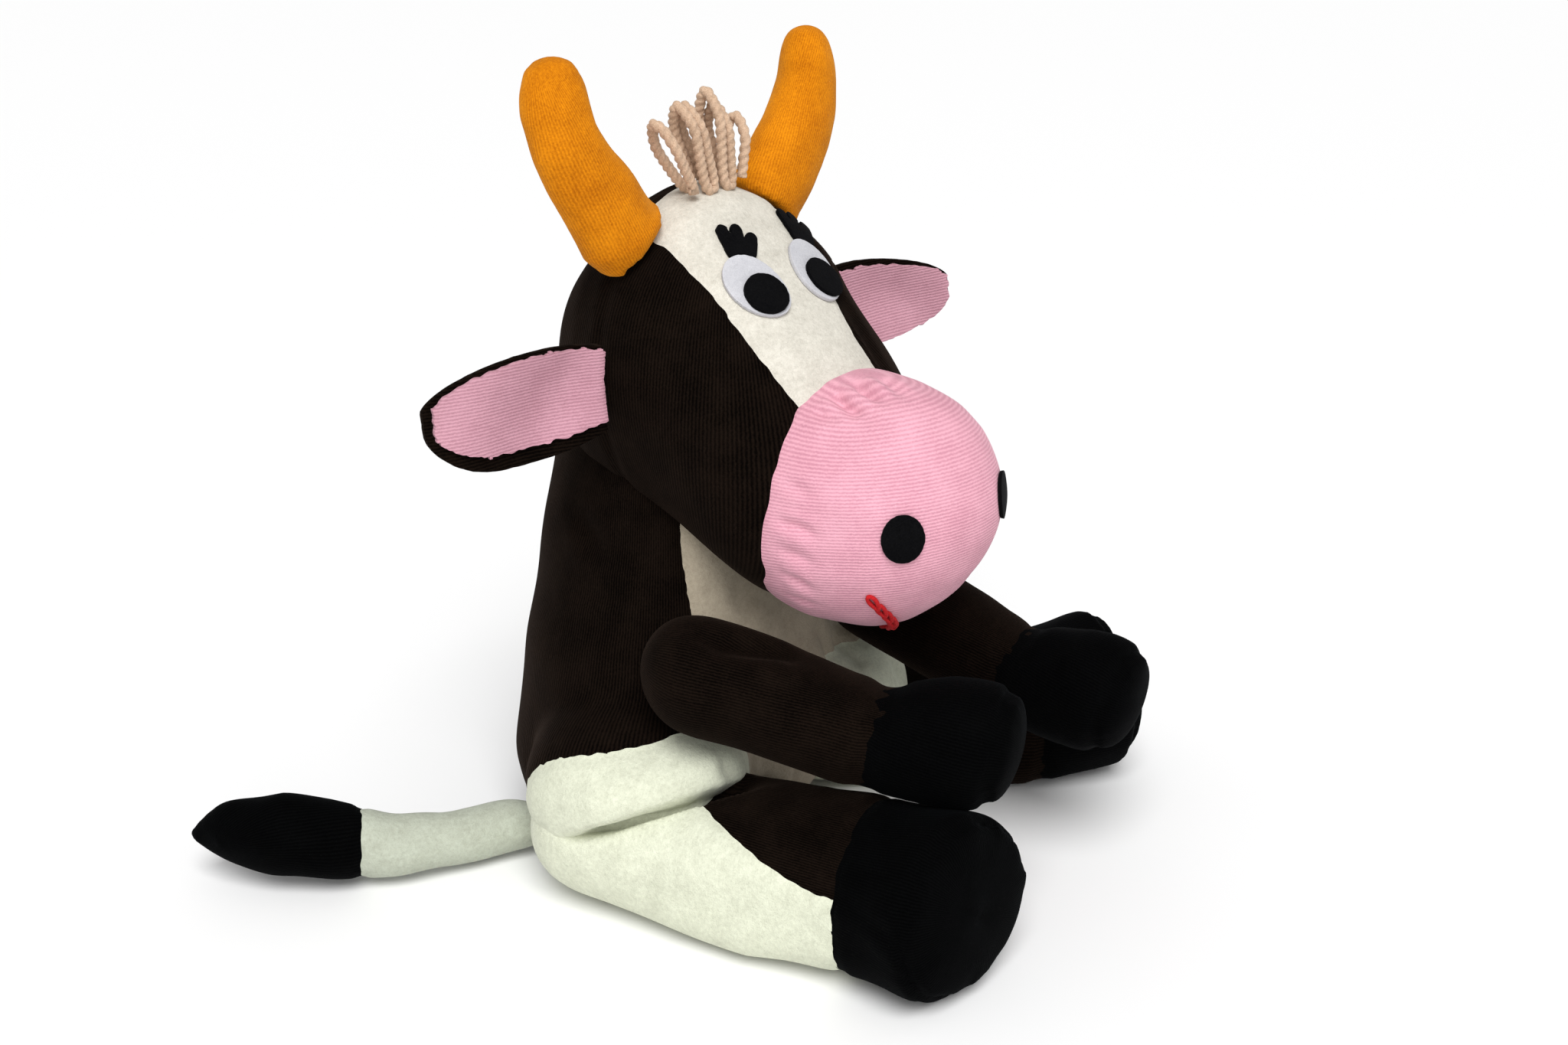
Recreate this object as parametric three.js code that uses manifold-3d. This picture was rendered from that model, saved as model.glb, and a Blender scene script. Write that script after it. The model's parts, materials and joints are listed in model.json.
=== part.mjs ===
// Cow hand puppet: a hollow cloth body with a stuffed head, arms, legs and tail sewn on.
// Millimetres, +Z up, the cow faces -Y and its right side is -X.
// Every cover is an open cloth shell over its own stuffing, with a seam gap between pieces.

import * as THREE from 'three';
import { mergeVertices } from 'three/addons/utils/BufferGeometryUtils.js';
import Module from 'manifold-3d';

// Cloth, seams and felt
const CLOTH = 1.6;
const GAP = 0.3;
const FELT = 1.5;
const CLEAR = 0.8;

// Longer than anything here, for cutting right through
const REACH = 300;

// Where the floor-level origin of the drawing sits in the finished part
const CENTRE_X = -1.1;
const CENTRE_Y = -18.1;

// Body: height, half width, half depth and centre of each ring
const BODY_RINGS = [
  [-10, 24, 20, 66],
  [2, 43.5, 37.5, 62.7],
  [10, 56, 50, 57.5],
  [20, 63, 57, 54],
  [34, 66, 60, 52],
  [54, 63, 58, 51],
  [76, 59, 55.5, 50.5],
  [96, 54, 52, 51],
  [112, 49.5, 49, 52.5],
  [126, 45, 46, 53.5],
  [144, 40, 43, 54],
  [164, 34, 40, 54],
];
const BODY_SIDES = 22;
const HEM_HEIGHT = 4;
const HEM_CLOTH = 2.6;
const BELLY_HALF = 34;
const BELLY_BACK = 40;
const NECK_FRONT = [5, 102];
const NECK_BACK = [100, 124];
const NECK_TOP = 158;
const HIP_CENTRE = [20, 41.5];
const HIP_HALF = [46, 29];
const HIP_TILT = 0.2;

// Head: depth, centre height, half height and half width of each ring, back to front
const HEAD_RINGS = [
  [86.5, 175, 17.5, 15.5],
  [81, 176, 32, 28.5],
  [71, 179, 44.5, 38.5],
  [57, 183.5, 55, 45.5],
  [41, 186.5, 60.5, 50],
  [25, 184.5, 59, 50],
  [8, 174, 54, 47.5],
  [-10, 160, 49.5, 43],
  [-28, 149.5, 40.5, 38.5],
  [-46, 141, 33, 33],
];
const HEAD_BACK = 89;
const HEAD_SIDES = 20;
const HEAD_SEAM_Y = 40;
const BLAZE_TOP = 27;
const BLAZE_BOTTOM = 18.5;
const BLAZE_FRONT = -30;
const BLAZE_LOW = 165;
const MUZZLE_SEAT = [0, -21.8, 149.5];
const MUZZLE_PITCH = 0.175;
const MUZZLE_RINGS = [
  [-10, 33],
  [0, 37.5],
  [6, 39.5],
  [17, 40.5],
  [30, 39],
  [41, 34.5],
  [50, 26.5],
  [56, 15],
];
const MUZZLE_LENGTH = 58.5;
const MUZZLE_SIDES = 20;
const MUZZLE_TALL = 1.07;
const TUBE_CENTRE_Y = 64;
const TUBE_RADIUS = 16;
const TUBE_BOTTOM = 126;
const TUBE_TOP = 196;

// Face
const EYE_POINT = [15.5, -1, 218];
const EYE_HALF = [11, 12.5];
const PUPIL_RADIUS = 8;
const PUPIL_DROP = 4.1;
const LASH_LIFT = 18.2;
const LASH_SHIFT = 3.2;
const LASH_TURN = -0.38;
const NOSTRIL_POINT = [23, -70, 150];
const NOSTRIL_HALF = [7, 8];
const MOUTH_HALF = 33;
const MOUTH_RISE = -3;
const MOUTH_SAG = 14;
const MOUTH_WIDTH = 3;
const MOUTH_TILT = 0.607;

// Horns and yarn tuft
const HORN_POINTS = [[32, 38, 224], [43.5, 38.5, 241], [56, 39, 256.5], [64, 40, 272], [65.5, 40.5, 283]];
const HORN_RADII = [16.5, 15.8, 14, 12.8, 11.6];
const HORN_DEPTH = 0.76;
const YARN_RADIUS = 1.45;
const TUFT_POINT = [0, 31, 246.5];
const TUFT_LOOPS = 6;
const TUFT_PITCH = 4.7;
const TUFT_ROW = 3.1;
const TUFT_HEIGHT = 27;
const TUFT_BULGE = 4.4;
const TUFT_FAN = 1.9;
const TUFT_LEAN = -8;

// Ears
const EAR_LENGTH = 66;
const EAR_HALF = 18;
const EAR_BASE_HALF = 12;
const EAR_BACK = 2.4;
const EAR_LINING = 2;
const EAR_RIM = 2.4;
const EAR_BEAD = 2.7;
const EAR_RIGHT = { base: [-52, 38, 184], along: [-65, 21, -5] };
const EAR_LEFT = { base: [52, 40, 186], along: [63, -34, 10] };

// Arms, along their own axis from the shoulder pivot
const ARM_ROOT = 21;
const ARM_STATIONS = [0, 24, 46, 64, 80, 95, 107];
const ARM_RADII = [21, 20.4, 19.8, 20, 22.2, 22.8, 22];
const ARM_SEAM = 64;
const ARM_SOLE = 107;
const ARM_RIGHT = { pivot: [-51, -3.5, 93], to: [-20, -80, 80.8] };
const ARM_LEFT = { pivot: [51, -3.5, 93], to: [58, -90, 73] };

// Legs, from the hip pivot of the right leg
const HIP_PIVOT = [56, 33, 30.5];
const LEG_POINTS = [[0, 0, 0], [5, -40, -1.7], [12, -77, -2.7], [18, -109, -1.4], [15.5, -141, 1.8]];
const LEG_RADII = [30, 28.3, 27.3, 28.6, 31.8];
const LEG_WIDE = 1.13;
const LEG_SEAM = 0.69;
const PATCH_POINT = [2, -50, 27];
const PATCH_WAY = [-0.86, 0.28, -0.42];
const LEG_UNDER = 26;
const LEG_REACH = 150;
const LEFT_LEG_TURN = 51;
const LEFT_LEG_REACH = 0.88;
const LEG_SWEEP = [0, 8.5, 17, 25.5, 34, 42.5, 51, 59.5, 68];
const SOLE_CLOTH = 2.2;

// Tail
const TAIL_START = [-66, 83, 15];
const TAIL_POINTS = [[-20, 4, 0], [-42, 15, 0.6], [-60, 31, 3], [-79, 50.5, 4], [-88, 59.5, 3]];
const TAIL_RADII = [14.5, 13.5, 13.8, 16.3, 12.5, 5];
const TAIL_SEAM = 0.5;

const SIDES = 14;

const wasm = await Module();
wasm.setup();

const at = (x, y, z) => new THREE.Vector3(x, y, z);
const from = (list) => new THREE.Vector3(...list);

const material = (color, roughness = 0.95) => new THREE.MeshStandardMaterial({ color, roughness });
const BROWN = material(0x2a1b14);
const BLACK = material(0x0b0c0c);
const CREAM = material(0xe9e4d3);
const PINK = material(0xf0b7c6);
const ORANGE = material(0xf2a516);
const WHITE_FELT = material(0xeeeef2);
const BLACK_FELT = material(0x151418);
const RED = material(0xd9262a);
const YARN = material(0xdcc7ae);
const FILL = material(0xf4f2ec);

// A closed surface through rings; each ring is a centre and two half-axis vectors.
function loft(rings, sides) {
  const points = [];
  const faces = [];
  for (const { centre, across, up } of rings) {
    for (let j = 0; j < sides; j += 1) {
      const turn = (2 * Math.PI * j) / sides;
      const p = centre.clone();
      p.addScaledVector(across, Math.cos(turn));
      p.addScaledVector(up, Math.sin(turn));
      points.push(p.x, p.y, p.z);
    }
  }
  for (let i = 0; i + 1 < rings.length; i += 1) {
    for (let j = 0; j < sides; j += 1) {
      const k = (j + 1) % sides;
      const [a, b] = [i * sides + j, i * sides + k];
      const [c, d] = [a + sides, b + sides];
      faces.push(a, b, c, b, d, c);
    }
  }
  const first = points.length / 3;
  const start = rings[0].tip ?? rings[0].centre;
  const end = rings[rings.length - 1].tip ?? rings[rings.length - 1].centre;
  points.push(...start.toArray(), ...end.toArray());
  const base = (rings.length - 1) * sides;
  for (let j = 0; j < sides; j += 1) {
    const k = (j + 1) % sides;
    faces.push(first, k, j);
    faces.push(first + 1, base + j, base + k);
  }
  const geometry = new THREE.BufferGeometry();
  geometry.setAttribute('position', new THREE.Float32BufferAttribute(points, 3));
  geometry.setIndex(faces);
  return geometry;
}

// A stuffed tube along a smooth line, round at both ends.
function limb(points, radii, sides = SIDES, steps = 6, depth = 1) {
  const line = new THREE.CatmullRomCurve3(points.map((p) => (p.isVector3 ? p : from(p))));
  const sizes = new THREE.CatmullRomCurve3(radii.map((r, i) => at(i, r, 0)));
  const rings = [];
  const ring = (t, shift, scale) => {
    const along = line.getTangent(t);
    const across = at(0, 0, 1).cross(along).normalize();
    const up = along.clone().cross(across);
    const radius = sizes.getPoint(t).y * scale;
    const centre = line.getPoint(t).addScaledVector(along, shift);
    rings.push({ centre, across: across.multiplyScalar(radius * depth), up: up.multiplyScalar(radius) });
  };
  for (const s of [0.28, 0.58, 0.83, 0.97]) {
    ring(0, -radii[0] * Math.sqrt(1 - s * s), s);
  }
  for (let i = 0; i <= steps; i += 1) {
    ring(i / steps, 0, 1);
  }
  const last = radii[radii.length - 1];
  for (const s of [0.78, 0.4]) {
    ring(1, last * Math.sqrt(1 - s * s), s);
  }
  rings[0].tip = line.getPoint(0).addScaledVector(line.getTangent(0), -radii[0]);
  rings[rings.length - 1].tip = line.getPoint(1).addScaledVector(line.getTangent(1), last);
  return loft(rings, sides);
}

// The same surface moved along its own normals.
function offset(geometry, distance) {
  const grown = geometry.clone();
  grown.computeVertexNormals();
  const place = grown.attributes.position;
  const normal = grown.attributes.normal;
  for (let i = 0; i < place.count; i += 1) {
    const p = new THREE.Vector3().fromBufferAttribute(place, i);
    p.addScaledVector(new THREE.Vector3().fromBufferAttribute(normal, i), distance);
    place.setXYZ(i, p.x, p.y, p.z);
  }
  grown.deleteAttribute('normal');
  return grown;
}

function solid(geometry, matrix) {
  const copy = geometry.clone();
  copy.deleteAttribute('normal');
  copy.deleteAttribute('uv');
  if (matrix) {
    copy.applyMatrix4(matrix);
  }
  const welded = mergeVertices(copy, 1e-4);
  const triVerts = new Uint32Array(welded.index.array);
  if (matrix && matrix.determinant() < 0) {
    for (let i = 0; i < triVerts.length; i += 3) {
      [triVerts[i], triVerts[i + 1]] = [triVerts[i + 1], triVerts[i]];
    }
  }
  const vertProperties = new Float32Array(welded.attributes.position.array);
  return new wasm.Manifold(new wasm.Mesh({ numProp: 3, vertProperties, triVerts }));
}

function block(x0, x1, y0, y1, z0, z1, matrix) {
  const box = new THREE.BoxGeometry(x1 - x0, y1 - y0, z1 - z0);
  box.translate((x0 + x1) / 2, (y0 + y1) / 2, (z0 + z1) / 2);
  return solid(box, matrix);
}

// Everything on the side of a plane that its normal points to.
function half(point, normal) {
  const size = 900;
  const turn = new THREE.Quaternion().setFromUnitVectors(at(0, 0, 1), normal.clone().normalize());
  const matrix = new THREE.Matrix4().compose(point, turn, at(1, 1, 1));
  return block(-size / 2, size / 2, -size / 2, size / 2, 0, size, matrix);
}

function ovalRod(halfX, halfY, z0, z1, matrix, sides = 20) {
  const rod = new THREE.CylinderGeometry(1, 1, z1 - z0, sides);
  rod.rotateX(Math.PI / 2);
  rod.scale(halfX, halfY, 1);
  rod.translate(0, 0, (z0 + z1) / 2);
  return solid(rod, matrix);
}

function plate(outline, z0, z1, matrix) {
  const shape = new THREE.Shape(outline.map(([x, y]) => new THREE.Vector2(x, y)));
  const sheet = new THREE.ExtrudeGeometry(shape, { depth: z1 - z0, bevelEnabled: false });
  sheet.translate(0, 0, z0);
  return solid(sheet, matrix);
}

// The closest point of a surface, and the outward direction there.
function nearest(geometry, point) {
  const place = geometry.attributes.position;
  const index = geometry.index;
  const triangle = new THREE.Triangle();
  const spot = at(0, 0, 0);
  const best = { distance: Infinity, point: null, normal: null };
  for (let i = 0; i < index.count; i += 3) {
    triangle.setFromAttributeAndIndices(place, index.getX(i), index.getX(i + 1), index.getX(i + 2));
    triangle.closestPointToPoint(point, spot);
    const distance = spot.distanceTo(point);
    if (distance < best.distance) {
      best.distance = distance;
      best.point = spot.clone();
      best.normal = triangle.getNormal(at(0, 0, 0));
    }
  }
  return best;
}

// Slides a point outwards along a direction until it clears the surface by a distance.
function seat(geometry, start, direction, clearance) {
  const way = direction.clone().normalize();
  const point = start.clone();
  for (let i = 0; i < 60; i += 1) {
    const near = nearest(geometry, point);
    const outside = point.clone().sub(near.point).dot(near.normal) >= 0;
    const short = clearance - (outside ? near.distance : -near.distance);
    if (Math.abs(short) < 0.002) {
      break;
    }
    point.addScaledVector(way, short);
  }
  return point;
}

// A frame lying on a surface: Z outwards, Y as near as it can be to the given direction.
function surfaceFrame(geometry, point, up) {
  const near = nearest(geometry, point);
  const z = near.normal;
  const x = up.clone().cross(z).normalize();
  const y = z.clone().cross(x);
  return new THREE.Matrix4().makeBasis(x, y, z).setPosition(near.point);
}

const group = new THREE.Group();
group.name = 'cow_hand_puppet';
group.position.set(CENTRE_X, CENTRE_Y, 0);

function addPiece(name, body, cloth) {
  const made = body.getMesh();
  const geometry = new THREE.BufferGeometry();
  geometry.setAttribute('position', new THREE.BufferAttribute(made.vertProperties, 3));
  geometry.setIndex(new THREE.BufferAttribute(made.triVerts, 1));
  const mesh = new THREE.Mesh(geometry, cloth);
  mesh.name = name;
  group.add(mesh);
  return mesh;
}

// Body form
const bodyForm = loft(
  BODY_RINGS.map(([z, halfX, halfY, y]) => ({
    centre: at(0, y, z),
    across: at(halfX, 0, 0),
    up: at(0, halfY, 0),
  })),
  BODY_SIDES,
);

// Head form and muzzle form
const headForm = loft(
  HEAD_RINGS.map(([y, z, halfZ, halfX], i) => ({
    centre: at(0, y, z),
    across: at(halfX, 0, 0),
    up: at(0, 0, halfZ),
    tip: i === 0 ? at(0, HEAD_BACK, z) : undefined,
  })),
  HEAD_SIDES,
);
const muzzleSeat = from(MUZZLE_SEAT);
const muzzleWay = at(0, -Math.cos(MUZZLE_PITCH), -Math.sin(MUZZLE_PITCH));
const muzzleUp = at(0, -Math.sin(MUZZLE_PITCH), Math.cos(MUZZLE_PITCH));
const muzzleTip = muzzleSeat.clone().addScaledVector(muzzleWay, MUZZLE_LENGTH);
const muzzleForm = loft(
  MUZZLE_RINGS.map(([d, r], i) => ({
    centre: muzzleSeat.clone().addScaledVector(muzzleWay, d),
    across: at(r, 0, 0),
    up: muzzleUp.clone().multiplyScalar(r * MUZZLE_TALL),
    tip: i === MUZZLE_RINGS.length - 1 ? muzzleTip : undefined,
  })),
  MUZZLE_SIDES,
);

// Leg form about its own hip, and where each hip stands
const legForm = limb(LEG_POINTS, LEG_RADII, SIDES, 6, LEG_WIDE);
const legLine = new THREE.CatmullRomCurve3(LEG_POINTS.map(from));
const hipMatrix = (side, turn) => {
  const matrix = new THREE.Matrix4().makeTranslation(side * HIP_PIVOT[0], HIP_PIVOT[1], HIP_PIVOT[2]);
  matrix.multiply(new THREE.Matrix4().makeRotationZ(side * THREE.MathUtils.degToRad(turn)));
  matrix.multiply(new THREE.Matrix4().makeScale(-side, side > 0 ? LEFT_LEG_REACH : 1, 1));
  return matrix;
};

// Arm form along +X from its shoulder, and where each shoulder sits against the body
const armForm = limb(ARM_STATIONS.map((x) => at(x, 0, 0)), ARM_RADII);
function shoulder({ pivot, to }) {
  const outward = from(pivot).sub(at(0, BODY_RINGS[8][3], pivot[2]));
  const root = seat(bodyForm, from(pivot), outward, ARM_ROOT - 0.2);
  const x = from(to).sub(root).normalize();
  const y = at(0, 0, 1).cross(x).normalize();
  const z = x.clone().cross(y);
  return new THREE.Matrix4().makeBasis(x, y, z).setPosition(root);
}
const armRight = shoulder(ARM_RIGHT);
const armLeft = shoulder(ARM_LEFT);

// Tail form from its root against the body
const tailRoot = seat(bodyForm, from(TAIL_START), at(-0.8, 0.6, 0), TAIL_RADII[0] - 0.2);
const tailPoints = [tailRoot, ...TAIL_POINTS.map((p) => tailRoot.clone().add(from(p)))];
const tailForm = limb(tailPoints, TAIL_RADII);
const tailLine = new THREE.CatmullRomCurve3(tailPoints);

// Room in the body wall for the limbs sewn against it
const armRoom = offset(armForm, CLEAR);
let room = solid(armRoom, armRight).add(solid(armRoom, armLeft));
room = room.add(solid(offset(tailForm, GAP)));
for (const side of [-1, 1]) {
  for (const turn of LEG_SWEEP) {
    const matrix = hipMatrix(side, turn);
    room = room.add(solid(offset(legForm, CLEAR), matrix));
    room = room.add(block(-LEG_UNDER, LEG_UNDER, -LEG_REACH, 0, -HIP_PIVOT[2] - GAP, 0, matrix));
  }
}

// Body panels
const neckSlope = at(0, -(NECK_BACK[1] - NECK_FRONT[1]), NECK_BACK[0] - NECK_FRONT[0]).normalize();
const neckPoint = at(0, NECK_FRONT[0], NECK_FRONT[1]);
const bodySolid = solid(bodyForm);
const bodyWall = bodySolid.subtract(solid(offset(bodyForm, -CLOTH)));
const aboveNeck = half(neckPoint.clone().addScaledVector(neckSlope, -GAP / 2), neckSlope);
const belowNeck = half(neckPoint.clone().addScaledVector(neckSlope, GAP / 2), neckSlope.clone().negate());
const panels = bodyWall
  .subtract(aboveNeck)
  .subtract(half(at(0, 0, HEM_HEIGHT + GAP), at(0, 0, -1)))
  .subtract(room);
const bellyBlock = (grow) => {
  const side = BELLY_HALF + grow;
  return block(-side, side, -REACH, BELLY_BACK + grow, -REACH, REACH);
};
const hipRod = (side, grow) => {
  const matrix = new THREE.Matrix4().makeTranslation(0, HIP_CENTRE[0], HIP_CENTRE[1]);
  matrix.multiply(new THREE.Matrix4().makeRotationX(-HIP_TILT));
  matrix.multiply(new THREE.Matrix4().makeRotationY(Math.PI / 2));
  const [reach, rise] = [HIP_HALF[0] + grow, HIP_HALF[1] + grow];
  return side < 0 ? ovalRod(rise, reach, -120, 0, matrix, 24) : ovalRod(rise, reach, 0, 120, matrix, 24);
};
const flanks = panels.subtract(bellyBlock(GAP));
const plainFlanks = flanks.subtract(hipRod(-1, GAP)).subtract(hipRod(1, GAP));
addPiece('body_side_right', plainFlanks.subtract(half(at(-GAP / 2, 0, 0), at(1, 0, 0))), BROWN);
addPiece('body_side_left', plainFlanks.subtract(half(at(GAP / 2, 0, 0), at(-1, 0, 0))), BROWN);
addPiece('belly_panel', panels.intersect(bellyBlock(0)), CREAM);
addPiece('hip_patch_right', flanks.intersect(hipRod(-1, 0)), CREAM);
addPiece('hip_patch_left', flanks.intersect(hipRod(1, 0)), CREAM);
const hem = bodySolid
  .subtract(solid(offset(bodyForm, -HEM_CLOTH)))
  .subtract(half(at(0, 0, HEM_HEIGHT), at(0, 0, 1)))
  .subtract(half(at(0, 0, 0), at(0, 0, -1)))
  .subtract(room);
addPiece('opening_hem', hem, BROWN);

// Neck cloth between the body and the head
const headRoom = solid(offset(headForm, GAP));
const neck = bodyWall
  .subtract(belowNeck)
  .subtract(half(at(0, 0, NECK_TOP), at(0, 0, 1)))
  .subtract(headRoom)
  .subtract(room);
addPiece('neck_sleeve', neck.subtract(bellyBlock(GAP)), BROWN);
addPiece('throat_panel', neck.intersect(bellyBlock(0)), CREAM);

// Head covers and filling
const seamBack = half(muzzleSeat.clone().addScaledVector(muzzleWay, -GAP / 2), muzzleWay);
const seamFront = half(muzzleSeat.clone().addScaledVector(muzzleWay, GAP / 2), muzzleWay.clone().negate());
const tubeMatrix = new THREE.Matrix4().makeTranslation(0, TUBE_CENTRE_Y, 0);
const tubeHole = ovalRod(TUBE_RADIUS + GAP, TUBE_RADIUS + GAP, 90, TUBE_TOP + GAP, tubeMatrix, 16);
const headShell = solid(headForm).subtract(solid(offset(headForm, -CLOTH)));
const headWall = headShell.subtract(seamBack).subtract(tubeHole);
const blazePrism = (grow) => {
  const top = BLAZE_TOP + grow;
  const bottom = BLAZE_BOTTOM + grow;
  const back = HEAD_SEAM_Y + 2;
  const outline = [[-top, back], [-bottom, BLAZE_FRONT], [bottom, BLAZE_FRONT], [top, back]];
  return plate(outline, BLAZE_LOW, BLAZE_LOW + REACH);
};
const face = headWall.subtract(half(at(0, HEAD_SEAM_Y - GAP / 2, 0), at(0, 1, 0)));
const cheeks = face.subtract(blazePrism(GAP));
addPiece('head_side_right', cheeks.subtract(half(at(-GAP / 2, 0, 0), at(1, 0, 0))), BROWN);
addPiece('head_side_left', cheeks.subtract(half(at(GAP / 2, 0, 0), at(-1, 0, 0))), BROWN);
addPiece('head_back_panel', headWall.subtract(half(at(0, HEAD_SEAM_Y + GAP / 2, 0), at(0, -1, 0))), BROWN);
addPiece('blaze_panel', face.intersect(blazePrism(0)), CREAM);
const fillOffset = -CLOTH - GAP;
addPiece('head_stuffing', solid(offset(headForm, fillOffset)).subtract(seamBack).subtract(tubeHole), FILL);
const tubeOuter = ovalRod(TUBE_RADIUS, TUBE_RADIUS, TUBE_BOTTOM, TUBE_TOP, tubeMatrix, 16);
const tubeBore = TUBE_RADIUS - CLOTH;
const tubeInner = ovalRod(tubeBore, tubeBore, TUBE_BOTTOM - 5, TUBE_TOP - CLOTH, tubeMatrix, 16);
addPiece('finger_tube', tubeOuter.subtract(tubeInner), FILL);

// Muzzle
const muzzleWall = solid(muzzleForm).subtract(solid(offset(muzzleForm, -CLOTH))).subtract(seamFront);
addPiece('muzzle_cover', muzzleWall, PINK);
addPiece('muzzle_stuffing', solid(offset(muzzleForm, fillOffset)).subtract(seamFront), FILL);
const muzzleSkin = solid(offset(muzzleForm, GAP + FELT)).subtract(solid(offset(muzzleForm, GAP)));
for (const [side, word] of [[-1, 'right'], [1, 'left']]) {
  const spot = at(side * NOSTRIL_POINT[0], NOSTRIL_POINT[1], NOSTRIL_POINT[2]);
  const frame = surfaceFrame(muzzleForm, spot, at(0, 0, 1));
  const disc = ovalRod(NOSTRIL_HALF[0], NOSTRIL_HALF[1], -8, 8, frame, 18);
  addPiece(`nostril_${word}`, muzzleSkin.intersect(disc), BLACK_FELT);
}
const mouthOutline = [];
for (const edge of [1, -1]) {
  for (let i = 0; i <= 14; i += 1) {
    const t = (edge * (i / 7 - 1)) * MOUTH_HALF;
    const sag = MOUTH_SAG * (1 - (t / MOUTH_HALF) ** 2);
    mouthOutline.push([t, MOUTH_RISE - sag - (edge * MOUTH_WIDTH) / 2]);
  }
}
const mouthFrame = new THREE.Matrix4().makeBasis(
  at(1, 0, 0),
  at(0, -Math.sin(MOUTH_TILT), Math.cos(MOUTH_TILT)),
  at(0, -Math.cos(MOUTH_TILT), -Math.sin(MOUTH_TILT)),
);
mouthFrame.setPosition(at(0, -40, 146));
addPiece('mouth_stitch', muzzleSkin.intersect(plate(mouthOutline, 0, 80, mouthFrame)), RED);

// Horns
let hornRoom = null;
for (const [side, word] of [[-1, 'right'], [1, 'left']]) {
  const horn = limb(HORN_POINTS.map(([x, y, z]) => at(side * x, y, z)), HORN_RADII, 12, 6, HORN_DEPTH);
  const around = solid(offset(horn, GAP));
  hornRoom = hornRoom ? hornRoom.add(around) : around;
  const shell = solid(horn).subtract(solid(offset(horn, -CLOTH)));
  addPiece(`horn_cover_${word}`, shell.subtract(headRoom), ORANGE);
  addPiece(`horn_stuffing_${word}`, solid(offset(horn, fillOffset)).subtract(headRoom), FILL);
}

// Eyes: white felt, black pupil on top and a three-lobed lash above
const eyeSkin = solid(offset(headForm, GAP + FELT)).subtract(solid(offset(headForm, GAP)));
const pupilOuter = solid(offset(headForm, 2 * GAP + 2 * FELT));
const pupilSkin = pupilOuter.subtract(solid(offset(headForm, 2 * GAP + FELT)));
const lashOutline = () => {
  const lobes = [[-6.5, 5], [-0.5, 8], [5.5, 7.5]];
  const outline = [[-4.5, -9], [4.5, -9]];
  for (const [x, y] of [...lobes].reverse()) {
    for (let i = 0; i <= 4; i += 1) {
      const turn = (Math.PI * i) / 4;
      outline.push([x + 2.6 * Math.cos(turn), y + 2.6 * Math.sin(turn)]);
    }
    outline.push([x - 2.8 + (x < -5 ? 0 : -0.1), 1.5]);
  }
  return outline.map(([x, y]) => [-x, y]);
};
for (const [side, word] of [[-1, 'right'], [1, 'left']]) {
  const spot = at(side * EYE_POINT[0], EYE_POINT[1], EYE_POINT[2]);
  const frame = surfaceFrame(headForm, spot, at(0, 0.7, 0.7));
  const oval = (grow) => ovalRod(EYE_HALF[0] + grow, EYE_HALF[1] + grow, -9, 9, frame, 22);
  addPiece(`eye_white_${word}`, eyeSkin.intersect(oval(0)), WHITE_FELT);
  const low = frame.clone().multiply(new THREE.Matrix4().makeTranslation(0.3, -PUPIL_DROP, 0));
  const pupil = ovalRod(PUPIL_RADIUS, PUPIL_RADIUS, -9, 9, low, 20);
  addPiece(`eye_pupil_${word}`, pupilSkin.intersect(pupil), BLACK_FELT);
  const lift = new THREE.Matrix4().makeTranslation(LASH_SHIFT, LASH_LIFT, 0);
  lift.multiply(new THREE.Matrix4().makeRotationZ(LASH_TURN));
  const lash = plate(lashOutline(), -9, 9, frame.clone().multiply(lift));
  addPiece(`eye_lash_${word}`, eyeSkin.intersect(lash).subtract(oval(GAP)).subtract(hornRoom), BLACK_FELT);
}

// Yarn tuft: one unbroken strand laid in loops, out and back
const tuftBase = seat(headForm, from(TUFT_POINT), at(0, 0, 1), GAP + YARN_RADIUS - 0.1);
const spread = (x, rise) => x * (1 + (TUFT_FAN - 1) * rise) + TUFT_LEAN * rise;
const strand = [];
for (let i = 0; i < TUFT_LOOPS; i += 1) {
  const place = i - (TUFT_LOOPS - 1) / 2;
  const x = place * TUFT_PITCH;
  const tall = TUFT_HEIGHT * (1 - 0.035 * place * place + (i % 2 ? 0.1 : 0));
  const flip = i % 2 ? -1 : 1;
  for (const [rise, wide] of [[0.1, 1], [0.38, 1.25], [0.72, TUFT_BULGE / TUFT_ROW], [1, 0]]) {
    strand.push(at(spread(x, rise), -flip * TUFT_ROW * wide, tall * rise + 1.4));
  }
  for (const [rise, wide] of [[0.72, TUFT_BULGE / TUFT_ROW], [0.38, 1.25], [0.1, 1]]) {
    strand.push(at(spread(x, rise), flip * TUFT_ROW * wide, tall * rise + 1.4));
  }
  if (i + 1 < TUFT_LOOPS) {
    strand.push(at(x + TUFT_PITCH * 0.15, flip * TUFT_ROW, 1.2));
    strand.push(at(x + TUFT_PITCH * 0.5, flip * TUFT_ROW, 0.2));
    strand.push(at(x + TUFT_PITCH * 0.85, flip * TUFT_ROW, 1.2));
  }
}
const strandLine = new THREE.CatmullRomCurve3(strand.map((p) => p.add(tuftBase)));
const round = new THREE.Shape();
for (let i = 0; i < 6; i += 1) {
  const turn = (Math.PI * i) / 3;
  const [x, y] = [YARN_RADIUS * Math.cos(turn), YARN_RADIUS * Math.sin(turn)];
  if (i === 0) {
    round.moveTo(x, y);
  } else {
    round.lineTo(x, y);
  }
}
const tuftPath = { steps: TUFT_LOOPS * 24, extrudePath: strandLine, curveSegments: 6 };
const tuft = new THREE.ExtrudeGeometry(round, tuftPath);
addPiece('hair_tuft', solid(tuft), YARN);
const samples = strandLine.getSpacedPoints(TUFT_LOOPS * 60);
const spacing = strandLine.getLength() / (TUFT_LOOPS * 60);
let least = Infinity;
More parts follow.
